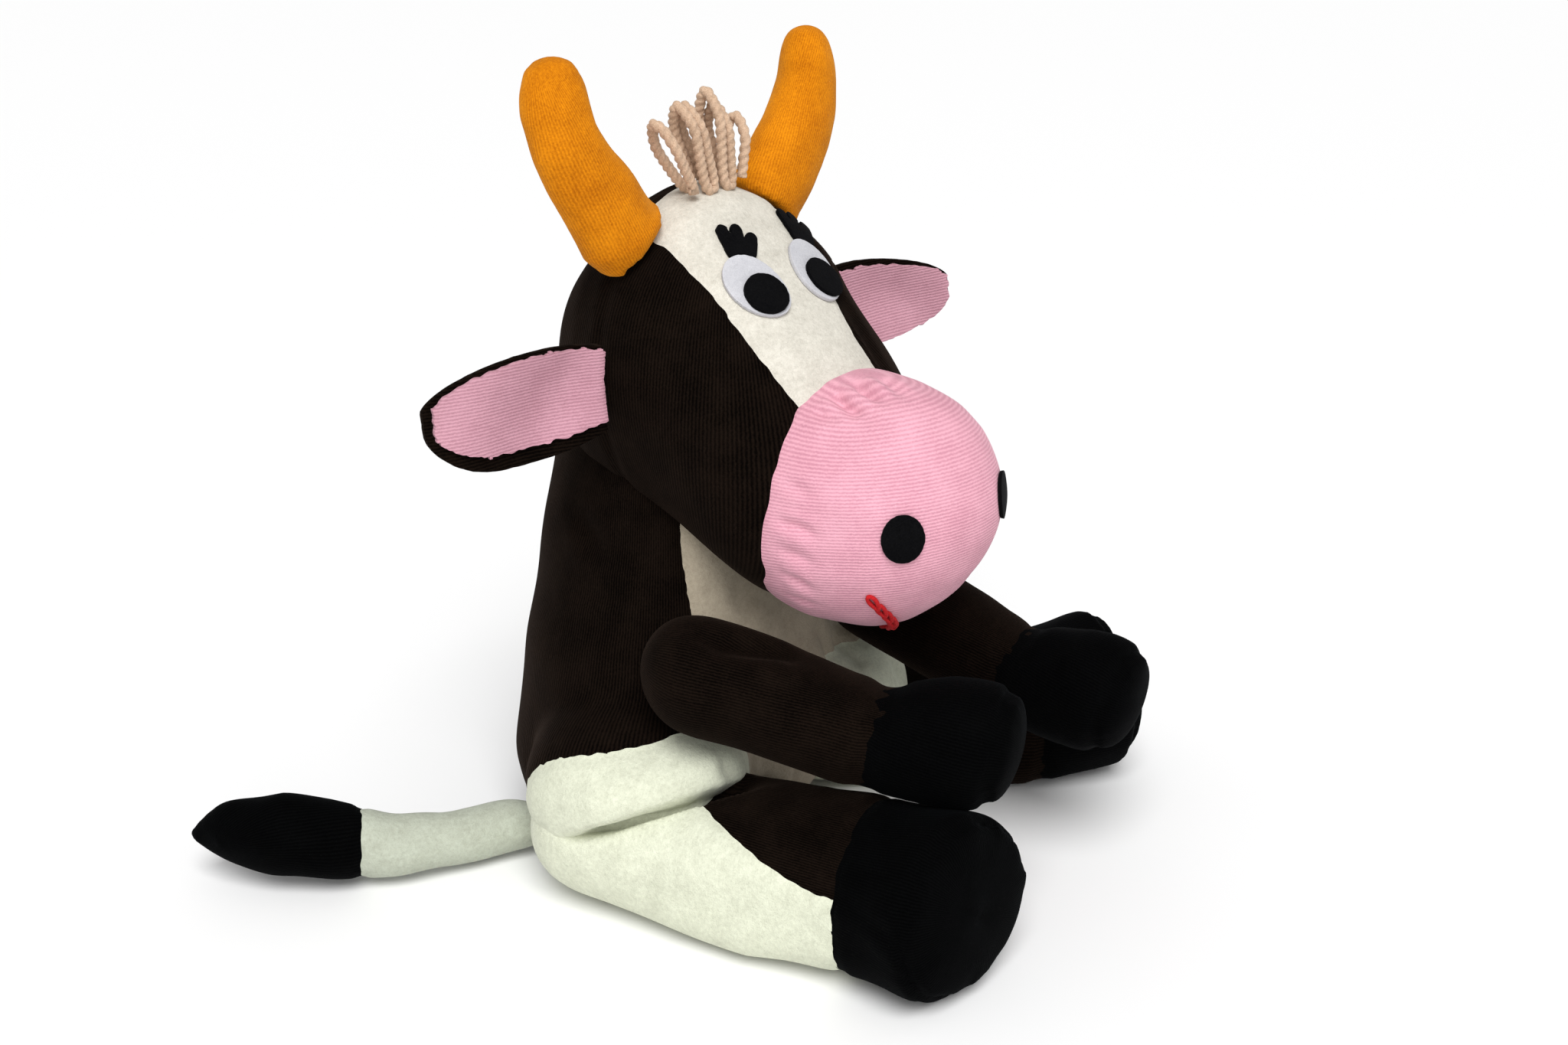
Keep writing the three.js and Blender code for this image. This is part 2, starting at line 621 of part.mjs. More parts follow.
for (let i = 0; i < samples.length; i += 1) {
  for (let j = i + 1; j < samples.length; j += 1) {
    if ((j - i) * spacing > 3.2 * YARN_RADIUS) {
      least = Math.min(least, samples[i].distanceTo(samples[j]) - 2 * YARN_RADIUS);
    }
  }
}
const strandLength = strandLine.getLength().toFixed(0);
console.log(`hair_tuft: ${strandLength} mm of yarn, least gap to itself ${least.toFixed(2)} mm`);

// Ears: a dark back with a rolled root, and a pink lining in front
const earOutline = (inset) => {
  const top = [];
  const start = EAR_BEAD + GAP + inset * 0.4;
  const end = EAR_LENGTH - inset * 1.6;
  for (let i = 0; i <= 10; i += 1) {
    const t = i / 10;
    const round = (EAR_HALF - EAR_BASE_HALF / 2) * Math.sin(Math.PI * t ** 0.85) * 0.95;
    const swell = EAR_BASE_HALF * (1 - t) + round;
    top.push([start + (end - start) * t, Math.max(swell - inset, 0) + 2.2 * (1 - t ** 8) * t]);
  }
  top[10] = [end, 0];
  const under = top.slice(0, 10).reverse().map(([x, y]) => [x, -y]);
  return [...under.reverse(), ...[...top].reverse()].reverse();
};
function addEar(word, { base, along }, front) {
  const x = from(along).normalize();
  const root = seat(headForm, from(base), x, EAR_BEAD + GAP);
  const z = x.clone().cross(at(0, 0, 1)).normalize();
  const y = z.clone().cross(x);
  const frame = new THREE.Matrix4().makeBasis(x, y, z).setPosition(root);
  const spread = [-EAR_BACK / 2, EAR_BACK / 2];
  const beadMatrix = frame.clone().multiply(new THREE.Matrix4().makeRotationX(Math.PI / 2));
  const bead = ovalRod(EAR_BEAD, EAR_BEAD, -EAR_BASE_HALF, EAR_BASE_HALF, beadMatrix, 14);
  const leaf = earOutline(0).map(([u, w]) => [u - (u < EAR_BEAD + 1 ? 2.4 : 0), w]);
  addPiece(`ear_back_${word}`, plate(leaf, ...spread, frame).add(bead), BROWN);
  const near = EAR_BACK / 2 + GAP;
  const lining = front > 0 ? [near, near + EAR_LINING] : [-near - EAR_LINING, -near];
  addPiece(`ear_lining_${word}`, plate(earOutline(EAR_RIM), ...lining, frame), PINK);
  console.log(`ear_${word} pivot`, root.toArray().map((n) => n.toFixed(2)).join(' '));
}
addEar('right', EAR_RIGHT, -1);
addEar('left', EAR_LEFT, 1);

// Limbs: cover, hoof, flat sole and filling, cut across their line
function addLimb(names, form, matrix, seam, sole, cloths) {
  const cutAt = (spot, shift, sign) => half(
    spot.point.clone().addScaledVector(spot.way, shift),
    spot.way.clone().multiplyScalar(sign),
  );
  const place = (cut) => new wasm.Manifold(cut.getMesh());
  const wall = solid(form).subtract(solid(offset(form, -CLOTH)));
  const parts = {
    cover: wall.subtract(cutAt(seam, -GAP / 2, 1)),
    hoof: wall.subtract(cutAt(seam, GAP / 2, -1)).subtract(cutAt(sole, -SOLE_CLOTH - GAP, 1)),
    sole: solid(form).subtract(cutAt(sole, -SOLE_CLOTH, -1)).subtract(cutAt(sole, 0, 1)),
    stuffing: solid(offset(form, fillOffset)).subtract(cutAt(sole, -SOLE_CLOTH - GAP, 1)),
  };
  for (const [key, name] of Object.entries(names)) {
    addPiece(name, moved(place(parts[key]), matrix), cloths[key]);
  }
  return parts;
}

// A finished solid carried to its place.
function moved(body, matrix) {
  const made = body.getMesh();
  const geometry = new THREE.BufferGeometry();
  geometry.setAttribute('position', new THREE.BufferAttribute(new Float32Array(made.vertProperties), 3));
  geometry.setIndex(new THREE.BufferAttribute(new Uint32Array(made.triVerts), 1));
  return solid(geometry, matrix);
}

const hoofCloths = { cover: BROWN, hoof: BLACK, sole: BLACK, stuffing: FILL };
for (const [word, matrix] of [['right', armRight], ['left', armLeft]]) {
  const names = {
    cover: `arm_sleeve_${word}`,
    hoof: `arm_hoof_${word}`,
    sole: `arm_sole_${word}`,
    stuffing: `arm_stuffing_${word}`,
  };
  const seam = { point: at(ARM_SEAM, 0, 0), way: at(1, 0, 0) };
  const sole = { point: at(ARM_SOLE, 0, 0), way: at(1, 0, 0) };
  addLimb(names, armForm, matrix, seam, sole, hoofCloths);
  const root = new THREE.Vector3().setFromMatrixPosition(matrix);
  console.log(`arm_${word} pivot`, root.toArray().map((n) => n.toFixed(2)).join(' '));
}

const legSpot = (t) => ({ point: legLine.getPoint(t), way: legLine.getTangent(t) });
const patchPoint = from(PATCH_POINT);
const patchWay = from(PATCH_WAY).normalize();
for (const [word, side, turn] of [['right', -1, 0], ['left', 1, LEFT_LEG_TURN]]) {
  const matrix = hipMatrix(side, turn);
  const names = { hoof: `leg_hoof_${word}`, sole: `leg_sole_${word}`, stuffing: `leg_stuffing_${word}` };
  const parts = addLimb(names, legForm, matrix, legSpot(LEG_SEAM), legSpot(1), hoofCloths);
  const inner = half(patchPoint.clone().addScaledVector(patchWay, GAP / 2), patchWay.clone().negate());
  const outer = half(patchPoint.clone().addScaledVector(patchWay, -GAP / 2), patchWay);
  addPiece(`leg_cover_${word}`, moved(parts.cover.subtract(outer), matrix), BROWN);
  addPiece(`leg_patch_${word}`, moved(parts.cover.subtract(inner), matrix), CREAM);
}

// Tail: cream cover, black tip, filling
const tailWall = solid(tailForm).subtract(solid(offset(tailForm, -CLOTH)));
const tailSpot = tailLine.getPoint(TAIL_SEAM);
const tailWay = tailLine.getTangent(TAIL_SEAM);
const tailBack = half(tailSpot.clone().addScaledVector(tailWay, -GAP / 2), tailWay);
const tailFront = half(tailSpot.clone().addScaledVector(tailWay, GAP / 2), tailWay.clone().negate());
addPiece('tail_cover', tailWall.subtract(tailBack), CREAM);
addPiece('tail_tip', tailWall.subtract(tailFront), BLACK);
addPiece('tail_stuffing', solid(offset(tailForm, fillOffset)), FILL);
console.log('tail pivot', tailRoot.toArray().map((n) => n.toFixed(2)).join(' '));

const extent = new THREE.Box3().setFromObject(group);
const say = (corner) => corner.toArray().map((n) => n.toFixed(2)).join(' ');
console.log('box', say(extent.min), 'to', say(extent.max));

export default group;
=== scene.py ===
# %% [markdown]
# # A cow hand puppet
# A hollow cloth body with a stuffed head, arms, legs and tail sewn on it.
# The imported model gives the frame: where each body sits, how it moves and how big it is.
# Here every piece gets its soft form, its seams and its cloth.

# %% Load the frame
import json
import math
import bmesh
import bpy
import numpy as np
from mathutils import Matrix, Vector
from mathutils.bvhtree import BVHTree

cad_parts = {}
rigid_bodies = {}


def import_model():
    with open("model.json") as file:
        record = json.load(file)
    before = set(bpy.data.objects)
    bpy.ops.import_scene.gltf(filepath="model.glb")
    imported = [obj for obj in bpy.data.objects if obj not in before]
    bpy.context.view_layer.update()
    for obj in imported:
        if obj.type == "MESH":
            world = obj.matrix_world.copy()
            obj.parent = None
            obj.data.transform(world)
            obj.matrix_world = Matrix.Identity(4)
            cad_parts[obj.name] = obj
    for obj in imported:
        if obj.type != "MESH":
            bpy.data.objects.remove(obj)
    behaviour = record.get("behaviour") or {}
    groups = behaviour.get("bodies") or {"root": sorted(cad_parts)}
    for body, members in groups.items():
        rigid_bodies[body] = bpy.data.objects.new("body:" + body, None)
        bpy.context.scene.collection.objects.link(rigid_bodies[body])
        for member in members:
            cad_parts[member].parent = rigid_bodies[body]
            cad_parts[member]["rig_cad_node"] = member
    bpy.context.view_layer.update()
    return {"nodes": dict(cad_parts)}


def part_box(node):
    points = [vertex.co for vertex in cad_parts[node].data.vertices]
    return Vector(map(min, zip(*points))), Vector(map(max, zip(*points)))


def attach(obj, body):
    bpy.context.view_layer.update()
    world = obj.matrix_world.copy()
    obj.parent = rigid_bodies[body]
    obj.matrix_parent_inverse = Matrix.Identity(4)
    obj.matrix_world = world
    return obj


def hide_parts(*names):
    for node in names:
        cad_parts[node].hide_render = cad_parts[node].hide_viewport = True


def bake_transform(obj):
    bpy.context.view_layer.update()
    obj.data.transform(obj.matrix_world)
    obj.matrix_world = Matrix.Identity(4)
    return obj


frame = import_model()
scene = bpy.context.scene

# %% [markdown]
# ## Measures
# The drawing of the puppet is in millimetres, with its own centre line.
# The frame is in metres, and that centre line sits a little off its origin.
# Working in the drawing's millimetres keeps every number the one that the drawing has,
# so the helpers below turn a mesh's points to millimetres and back.

# %% Millimetres of the drawing
MM = 0.001
SHIFT = np.array((-1.1, -18.1, 0.0))


def place(x, y, z):
    return Vector(((x + SHIFT[0]) * MM, (y + SHIFT[1]) * MM, z * MM))


def points_mm(piece):
    flat = np.empty(len(piece.data.vertices) * 3)
    piece.data.vertices.foreach_get("co", flat)
    return flat.reshape(-1, 3) / MM - SHIFT


def put_mm(piece, points):
    flat = ((points + SHIFT) * MM).ravel()
    piece.data.vertices.foreach_set("co", flat)
    piece.data.update()


def outward(piece):
    flat = np.empty(len(piece.data.vertices) * 3)
    piece.data.vertex_normals.foreach_get("vector", flat)
    return flat.reshape(-1, 3)


def push_out(piece, amount):
    """Moves each point of a skin outwards by its own amount."""
    put_mm(piece, points_mm(piece) + outward(piece) * amount[:, None])


def unit(vector):
    vector = np.array(vector, float)
    return vector / np.linalg.norm(vector)


def part(values):
    """Values held between nought and one."""
    return np.clip(values, 0, 1)


def bell(values, middle, width):
    """One at the middle, and less the further a value lies from it."""
    return np.exp(-(((values - middle) / width) ** 2))


print("drawing centre at", tuple(round(n, 4) for n in place(0, 0, 0)))

# %% [markdown]
# ## Camera, floor and light
# The camera stands in front of the cow and to its right, a little above it.
# The key is a sun with a wide disc, high in front of the cow and on its right. A weak fill stands lower
# on the same side, and a pale surround lights the rest, so the dark velour still shows its folds.

# %% Camera
AIM = place(0, 0, 130)
AZIMUTH = math.radians(-52)
RISE = math.radians(20)
DISTANCE = 0.65
back = Vector((math.sin(AZIMUTH) * math.cos(RISE), -math.cos(AZIMUTH) * math.cos(RISE), math.sin(RISE)))
view = bpy.data.cameras.new("view")
view.lens = 42.19
view.sensor_width = 36
camera = bpy.data.objects.new("view", view)
camera.location = AIM + back * DISTANCE
camera.rotation_euler = (-back).to_track_quat("-Z", "Y").to_euler()
scene.collection.objects.link(camera)
scene.camera = camera
across_view = Vector((math.cos(AZIMUTH), math.sin(AZIMUTH), 0))
up_view = back.cross(across_view)
PICTURE_WIDE, PICTURE_TALL = 2048, 1365
MIDDLE_RIGHT, MIDDLE_DOWN = PICTURE_WIDE / 2, PICTURE_TALL / 2
FOCAL = PICTURE_WIDE * view.lens / view.sensor_width


def sight(right, down):
    """The way from the camera through a point of the picture, in pixels from its top left corner."""
    across = across_view * ((right - MIDDLE_RIGHT) / FOCAL)
    up = up_view * ((MIDDLE_DOWN - down) / FOCAL)
    return (across + up - back).normalized()


print("camera at", tuple(round(n, 4) for n in camera.location))

# %% Floor
def set_inputs(node, values):
    for title, value in values.items():
        node.inputs[title].default_value = value


bpy.ops.mesh.primitive_circle_add(vertices=96, radius=6, fill_type="NGON", location=(0, 0, 0))
floor = bpy.context.object
floor.name = "floor"
floor_paint = bpy.data.materials.new("floor_paint")
floor_paint.use_nodes = True
paint = floor_paint.node_tree.nodes["Principled BSDF"]
set_inputs(paint, {"Base Color": (0.93, 0.93, 0.93, 1), "Roughness": 0.9})
floor.data.materials.append(floor_paint)

# %% Lights
surround = bpy.data.worlds.new("surround")
surround.use_nodes = True
set_inputs(surround.node_tree.nodes["Background"], {"Color": (1, 1, 1, 1), "Strength": 0.42})
scene.world = surround


def hang(lamp, spot, way):
    holder = bpy.data.objects.new(lamp.name, lamp)
    holder.location = spot
    holder.rotation_euler = way.to_track_quat("-Z", "Y").to_euler()
    scene.collection.objects.link(holder)


sun = bpy.data.lights.new("key", "SUN")
sun.energy = 2.65
sun.angle = math.radians(35)
hang(sun, (0, 0, 0), Vector((0.45, 0.4, -0.8)))
FILL_SPOT = Vector((-0.9, -0.9, 0.5))
FILL_AIM = Vector((0, 0, 0.12))
fill_lamp = bpy.data.lights.new("fill", "AREA")
fill_lamp.energy = 2.5
fill_lamp.size = 0.8
hang(fill_lamp, FILL_SPOT, FILL_AIM - FILL_SPOT)
scene.view_settings.view_transform = "Standard"

# %% [markdown]
# ## How a stuffed piece is made
# A stuffed piece of the real toy is cut flat, sewn along its seams, turned and filled.
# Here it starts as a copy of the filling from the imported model, which is closed.
# A voxel remesh gives it an even net of small faces, and a cloth run with air pressure swells it,
# the way stuffing does. Seams come after that: each is a line where a distance is nought,
# the skin is drawn in along it, cut there, and taken apart into the panels of the real toy.

# %% Helpers for soft pieces
def apply(piece, kind, **settings):
    modifier = piece.modifiers.new(kind.lower(), kind)
    for key, value in settings.items():
        setattr(modifier, key, value)
    bpy.context.view_layer.objects.active = piece
    bpy.ops.object.modifier_apply(modifier=modifier.name)


def pick(*pieces):
    """Selects these pieces and no others. The first is the active one."""
    bpy.ops.object.select_all(action="DESELECT")
    for piece in pieces:
        piece.select_set(True)
    bpy.context.view_layer.objects.active = pieces[0]


def smooth(piece):
    pick(piece)
    bpy.ops.object.shade_smooth()


def edit_all(operator, **settings):
    """Runs one edit on the whole mesh of the active piece."""
    bpy.ops.object.mode_set(mode="EDIT")
    bpy.ops.mesh.select_all(action="SELECT")
    operator(**settings)
    bpy.ops.object.mode_set(mode="OBJECT")


def copy_node(name, node):
    piece = bpy.data.objects.new(name, frame["nodes"][node].data.copy())
    scene.collection.objects.link(piece)
    pick(piece)
    edit_all(bpy.ops.mesh.remove_doubles, threshold=0.00002)
    piece.data.name = name
    piece.data.materials.clear()
    return piece


PRESSURE = 4
SWELL_STEPS = 20


def swell(piece, cap):
    """Blows a closed skin up by air pressure, and lets no point move further than the cap."""
    before = points_mm(piece)
    cloth = piece.modifiers.new("swell", "CLOTH")
    cloth.settings.use_pressure = True
    cloth.settings.uniform_pressure_force = PRESSURE
    cloth.settings.effector_weights.gravity = 0
    cloth.collision_settings.use_collision = False
    cloth.point_cache.frame_start = 1
    cloth.point_cache.frame_end = SWELL_STEPS
    for step in range(1, SWELL_STEPS + 1):
        scene.frame_set(step)
    bpy.context.view_layer.objects.active = piece
    bpy.ops.object.modifier_apply(modifier="swell")
    scene.frame_set(1)
    move = points_mm(piece) - before
    far = np.linalg.norm(move, axis=1, keepdims=True)
    put_mm(piece, before + move * np.minimum(1, cap / np.maximum(far, 1e-6)))
    return float(far.max())


def stuff(piece, voxel, grow, cap, relax, levels=1):
    """Makes an even skin, rounds it, grows it and swells it."""
    apply(piece, "REMESH", mode="VOXEL", voxel_size=voxel * MM)
    apply(piece, "SMOOTH", factor=0.5, iterations=relax)
    put_mm(piece, points_mm(piece) + outward(piece) * grow)
    moved = 0.0
    moved = swell(piece, cap)
    apply(piece, "SUBSURF", levels=levels, render_levels=levels)
    print(piece.name, len(piece.data.vertices), "points, swelled by up to", round(moved, 1), "mm, cap", cap)


def soften(piece, mask, rounds):
    """Rounds off the part of a skin that the mask picks."""
    group = piece.vertex_groups.new(name="soft")
    for index in np.nonzero(mask > 0.01)[0]:
        group.add([int(index)], float(mask[index]), "REPLACE")
    apply(piece, "SMOOTH", factor=0.5, iterations=rounds, vertex_group="soft")
    piece.vertex_groups.clear()


def draw_in(piece, distance, depth, width):
    """Draws a skin in along the line where a distance is nought."""
    push_out(piece, -depth * bell(distance(points_mm(piece)), 0, width))


ON_LINE = 1e-4


def cut_line(piece, distance):
    """Cuts new edges into a mesh along the line where a distance is nought."""
    mesh = bmesh.new()
    mesh.from_mesh(piece.data)
    mesh.verts.ensure_lookup_table()
    side = distance(points_mm(piece))
    side = np.where(np.abs(side) < ON_LINE, ON_LINE, side)
    fresh = []
    for edge in list(mesh.edges):
        near, far = side[edge.verts[0].index], side[edge.verts[1].index]
        if near * far < 0:
            fresh.append((edge, edge.verts[0], near / (near - far)))
    corners = [bmesh.utils.edge_split(edge, start, share)[1] for edge, start, share in fresh]
    bmesh.ops.connect_verts(mesh, verts=corners)
    mesh.to_mesh(piece.data)
    mesh.free()


def face_centres(piece):
    flat = np.empty(len(piece.data.polygons) * 3)
    piece.data.polygons.foreach_get("center", flat)
    return flat.reshape(-1, 3) / MM - SHIFT


def take_panel(piece, name, keep):
    twin = bpy.data.objects.new(f"{name}_cloth", piece.data.copy())
    twin.data.name = twin.name
    scene.collection.objects.link(twin)
    mesh = bmesh.new()
    mesh.from_mesh(twin.data)
    drop = [face for face in mesh.faces if not keep[face.index]]
    bmesh.ops.delete(mesh, geom=drop, context="FACES")
    mesh.to_mesh(twin.data)
    mesh.free()
    return twin


def discard(piece):
    bpy.data.objects.remove(piece, do_unlink=True)


def thicken(piece, cloth=1.2):
    apply(piece, "SOLIDIFY", thickness=cloth * MM, offset=-1, use_rim=True)
    pick(piece)
    bpy.ops.object.shade_smooth_by_angle(angle=math.radians(55))


def count_faces(made):
    return {name: len(piece.data.polygons) for name, piece in made.items()}


print("helpers ready")

# %% [markdown]
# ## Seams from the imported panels
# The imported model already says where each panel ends, so a seam is the line on the skin that is
# as near to one panel as to the others. Where a seam runs another way, a rule of its own says how.
# Rules go in order: each takes its faces from what is left. A cut seam wanders a little, as sewn ones do.

# %% Panel rules
def tree_of(*nodes):
    corners = []
    faces = []
    for node in nodes:
        mesh = frame["nodes"][node].data
        base = len(corners)
        corners.extend(vertex.co.copy() for vertex in mesh.vertices)
        faces.extend([base + index for index in face.vertices] for face in mesh.polygons)
    return BVHTree.FromPolygons(corners, faces)


def tree_of_skin(piece):
    corners = [vertex.co.copy() for vertex in piece.data.vertices]
    return BVHTree.FromPolygons(corners, [list(face.vertices) for face in piece.data.polygons])


def reach(tree, points):
    metres = (points + SHIFT) * MM
    return np.array([tree.find_nearest(point)[3] for point in metres]) / MM


def nearer(mine, others, bias=0.0):
    """A distance that is below nought where a point is nearer to my panels than to the others."""
    own = tree_of(*mine)
    rest = tree_of(*others)
    return lambda points: reach(own, points) - reach(rest, points) - bias


SEAM_WANDER = 0.3
WANDER_SIZE = 5


def take_apart(skin, rules, last, depth=0.9, width=2.2):
    """Draws a skin in along its seams, cuts it there, and gives each rule its panel and the last the rest."""
    for name, rule, *own in rules:
        draw_in(skin, rule, own[0] if own else depth, width)
    lines = [
        lambda points, rule=rule, seed=seed: rule(points) + SEAM_WANDER * lumps(points, WANDER_SIZE, seed)
        for seed, (name, rule, *own) in enumerate(rules)
    ]
    for line in lines:
        cut_line(skin, line)
    centres = face_centres(skin)
    free = np.ones(len(centres), bool)
    made = {}
    for (name, rule, *own), line in zip(rules, lines):
        mine = free & (line(centres) < 0)
        made[name] = take_panel(skin, name, mine)
        free &= ~mine
    made[last] = take_panel(skin, last, free)
    discard(skin)
    return made


def lumps(points, size, seed):
    """A soft uneven field of about this size, from nine waves that run every way."""
    dice = np.random.default_rng(seed)
    total = np.zeros(len(points))
    for turn in range(9):
        way = unit(dice.normal(size=3)) * (2 * math.pi / size) * dice.uniform(0.6, 1.5)
        total += np.sin(points @ way + dice.uniform(0, 6.28))
    return total / 4


def knead(piece, size, depth, seed):
    """Gives a skin the uneven look of stuffing."""
    push_out(piece, depth * lumps(points_mm(piece), size, seed))


def hand_over(made, body, stand_for=None, seams=None):
    """Gives pieces to a body. A piece with a seam keeps its place in the world instead, and the two places of
    its seam are not used.
    """
    for name, piece in made.items():
        if name in (seams or {}):
            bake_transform(piece)
        else:
            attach(piece, body)
        nodes = [name] + list((stand_for or {}).get(name, []))
        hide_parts(*[node for node in nodes if node in frame["nodes"]])


def lay_weave(piece, across, along, period=None):
    """Keeps where each point lies on its cloth: across the ribs and along them, in metres."""
    layer = piece.data.uv_layers.new(name="weave")
    corner = np.empty(len(piece.data.loops), int)
    piece.data.loops.foreach_get("vertex_index", corner)
    wide, tall = across[corner], along[corner]
    if period:
        starts = np.empty(len(piece.data.polygons), int)
        totals = np.empty(len(piece.data.polygons), int)
        piece.data.polygons.foreach_get("loop_start", starts)
        piece.data.polygons.foreach_get("loop_total", totals)
        spread = np.maximum.reduceat(wide, starts) - np.minimum.reduceat(wide, starts)
        torn = np.repeat(spread > period / 2, totals)
        wide = np.where(torn & (wide < 0), wide + period, wide)
    layer.data.foreach_set("uv", (np.stack([wide, tall], axis=1) * MM).ravel())


def upright_weave(piece, centre, radius):
    points = points_mm(piece)
    turn = np.arctan2(points[:, 0] - centre[0], centre[1] - points[:, 1])
    lay_weave(piece, turn * radius, points[:, 2], 2 * math.pi * radius)


def limb_weave(piece, start, way, radius):
    from_start = points_mm(piece) - np.array(start)
    side = unit(np.cross((0, 0, 1), way))
    top = np.cross(way, side)
    turn = np.arctan2(from_start @ side, from_start @ top)
    lay_weave(piece, turn * radius, from_start @ way, 2 * math.pi * radius)


LIP_PLACE = 1.8


def fold(piece, pixels, depth, width, lip=0.0):
    """A crease along a line that is given by points of the picture, with a soft lip on both sides."""
    tree = tree_of_skin(piece)
    hits = [tree.ray_cast(camera.location, sight(*pixel))[0] for pixel in pixels]
    knots = [np.array(hit) / MM - SHIFT for hit in hits if hit]
    points = points_mm(piece)
    away = np.full(len(points), 1e3)
    share = np.zeros(len(points))
    for index in range(len(knots) - 1):
        way = knots[index + 1] - knots[index]
        along = part((points - knots[index]) @ way / (way @ way))
        gap = np.linalg.norm(points - knots[index] - along[:, None] * way, axis=1)
        closer = gap < away
        away = np.where(closer, gap, away)
        share = np.where(closer, (index + along) / (len(knots) - 1), share)
    fade = part(np.sin(math.pi * np.clip(share, 0.02, 0.98))) ** 0.6
    push = -depth * bell(away, 0, width) + lip * bell(away, LIP_PLACE * width, width)
    push_out(piece, push * fade)


LINE_FADE = 25


def drop_below(piece, pixels):
    """How far each point lies below a line of the picture, in millimetres, and how well it faces it."""
    ray = (points_mm(piece) + SHIFT) * MM - np.array(camera.location)
    depth = -(ray @ np.array(back))
    right = MIDDLE_RIGHT + FOCAL * (ray @ np.array(across_view)) / depth
    down = MIDDLE_DOWN - FOCAL * (ray @ np.array(up_view)) / depth
    line = np.array(pixels, float)
    gap = (down - np.interp(right, line[:, 0], line[:, 1])) * depth / FOCAL / MM
    start = part((right - line[0, 0] + LINE_FADE) / (2 * LINE_FADE))
    end = part((line[-1, 0] + LINE_FADE - right) / (2 * LINE_FADE))
    facing = part(3 * (outward(piece) @ np.array(back)))
    return gap, start * end * facing


print("panel rules ready")

# %% [markdown]
# ## Arms
# Each arm is a tube of brown velour with a black hoof sewn to its end and a flat black sole.
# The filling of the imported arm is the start, since it already tapers as the arm does.

# %% Arms
# The shoulder's middle, and the way the arm runs.
ARMS = {
    "right": (np.array((-51.14, -3.65, 93)), unit((31.14, -76.35, -12.2))),
    "left": (np.array((51.14, -3.65, 93)), unit((6.86, -86.35, -20))),
}
CROWN = 12


def dome(piece, start, way, length, radius, height, rim=9, rounds=8):
    """Rounds the sewn end of a limb, and crowns the sole."""
    points = points_mm(piece)
    along = (points - start) @ way
    soften(piece, part((along - length + rim) / (0.66 * rim)), rounds)
    points = points_mm(piece)
    along = (points - start) @ way
    off = np.linalg.norm(points - start - along[:, None] * way, axis=1)
    lift = height * part((along - length + CROWN) / CROWN) * part(1 - (off / radius) ** 2)
    put_mm(piece, points + lift[:, None] * way)


ARM_SAG = ([-20, 0, 30, 50, 64, 78, 92, 107], [1.5, 2.5, 5.0, 6.5, 6.5, 4.5, 2.0, 0.5])
ARM_WAIST = ([25, 45, 62, 70, 85], [0, 1.5, 3.0, 2.0, 0])
skins = {}
for word, (pivot, way) in ARMS.items():
    skin = copy_node(f"arm_skin_{word}", f"arm_stuffing_{word}")
    stuff(skin, voxel=2.8, grow=2.0, cap=1.4, relax=9)
    dome(skin, pivot, way, length=105, radius=23, height=5.5, rim=22, rounds=40)
    points = points_mm(skin)
    along = (points - pivot) @ way
    over = points[:, 2] - pivot[2] - along * way[2]
    points[:, 2] -= np.interp(along, *ARM_SAG) + np.interp(along, *ARM_WAIST) * part(over / 15)
    put_mm(skin, points)
    knead(skin, size=34, depth=0.5, seed=3 if word == "right" else 4)
    if word == "right":
        fold(skin, [(912, 806), (950, 802), (990, 812), (1016, 830)], depth=-2.6, width=7.0)
        crease = [(900, 824), (941, 840), (980, 844), (1022, 850), (1050, 862)]
        fold(skin, crease, depth=4.6, width=4.6, lip=0.6)
    skins[f"arm_{word}"] = tree_of_skin(skin)
    sleeve, hoof, sole = [f"arm_{piece}_{word}" for piece in ("sleeve", "hoof", "sole")]
    rules = [
        (sole, nearer([sole], [hoof, sleeve], bias=0.6), 0.2),
        (hoof, nearer([hoof], [sleeve, sole]), 1.3),
    ]
    made = take_apart(skin, rules, sleeve, depth=0.7, width=2.4)
    for piece in made.values():
        thicken(piece)
        limb_weave(piece, pivot, way, radius=21)
    seams = {sleeve: (pivot - 4 * way, pivot + 30 * way)}
    hand_over(made, f"arm_{word}", stand_for={sleeve: [f"arm_stuffing_{word}"]}, seams=seams)
    print("arm", word, count_faces(made))

# %% [markdown]
# ## Legs
# A leg is thicker than an arm: brown inside, a cream fleece patch outside, a black hoof and sole.
# At the hip it is pressed flatter, because the body sits on it there.

# %% Legs
# The hip's middle, and the way the leg runs.
LEGS = {
    "right": (np.array((-56.0, 33.0, 30.5)), unit((15.5, -141, 1.8))),
    "left": (np.array((56.0, 33.0, 30.5)), unit((86.6, -90, 1.8))),
}
LEG_LENGTH = {"right": 141, "left": 124}
LEG_MIDDLE = 31
LEG_SPREAD = ([-5, 45, 70, 100, 130], [0.1, 0.7, 1, 0.6, 0.2])
LEFT_TURN = math.radians(51)
LEFT_SHORT = 0.88
PATCH_POINT = np.array((2, -50, 27))
PATCH_WAY = unit((-0.86, 0.28, -0.42))
CREASE_DEPTH = 9
CREASE_WIDTH = 5
HIP_CREASE = [(750, 1092), (800, 1080), (845, 1064), (890, 1050), (937, 1034), (1000, 1018)]


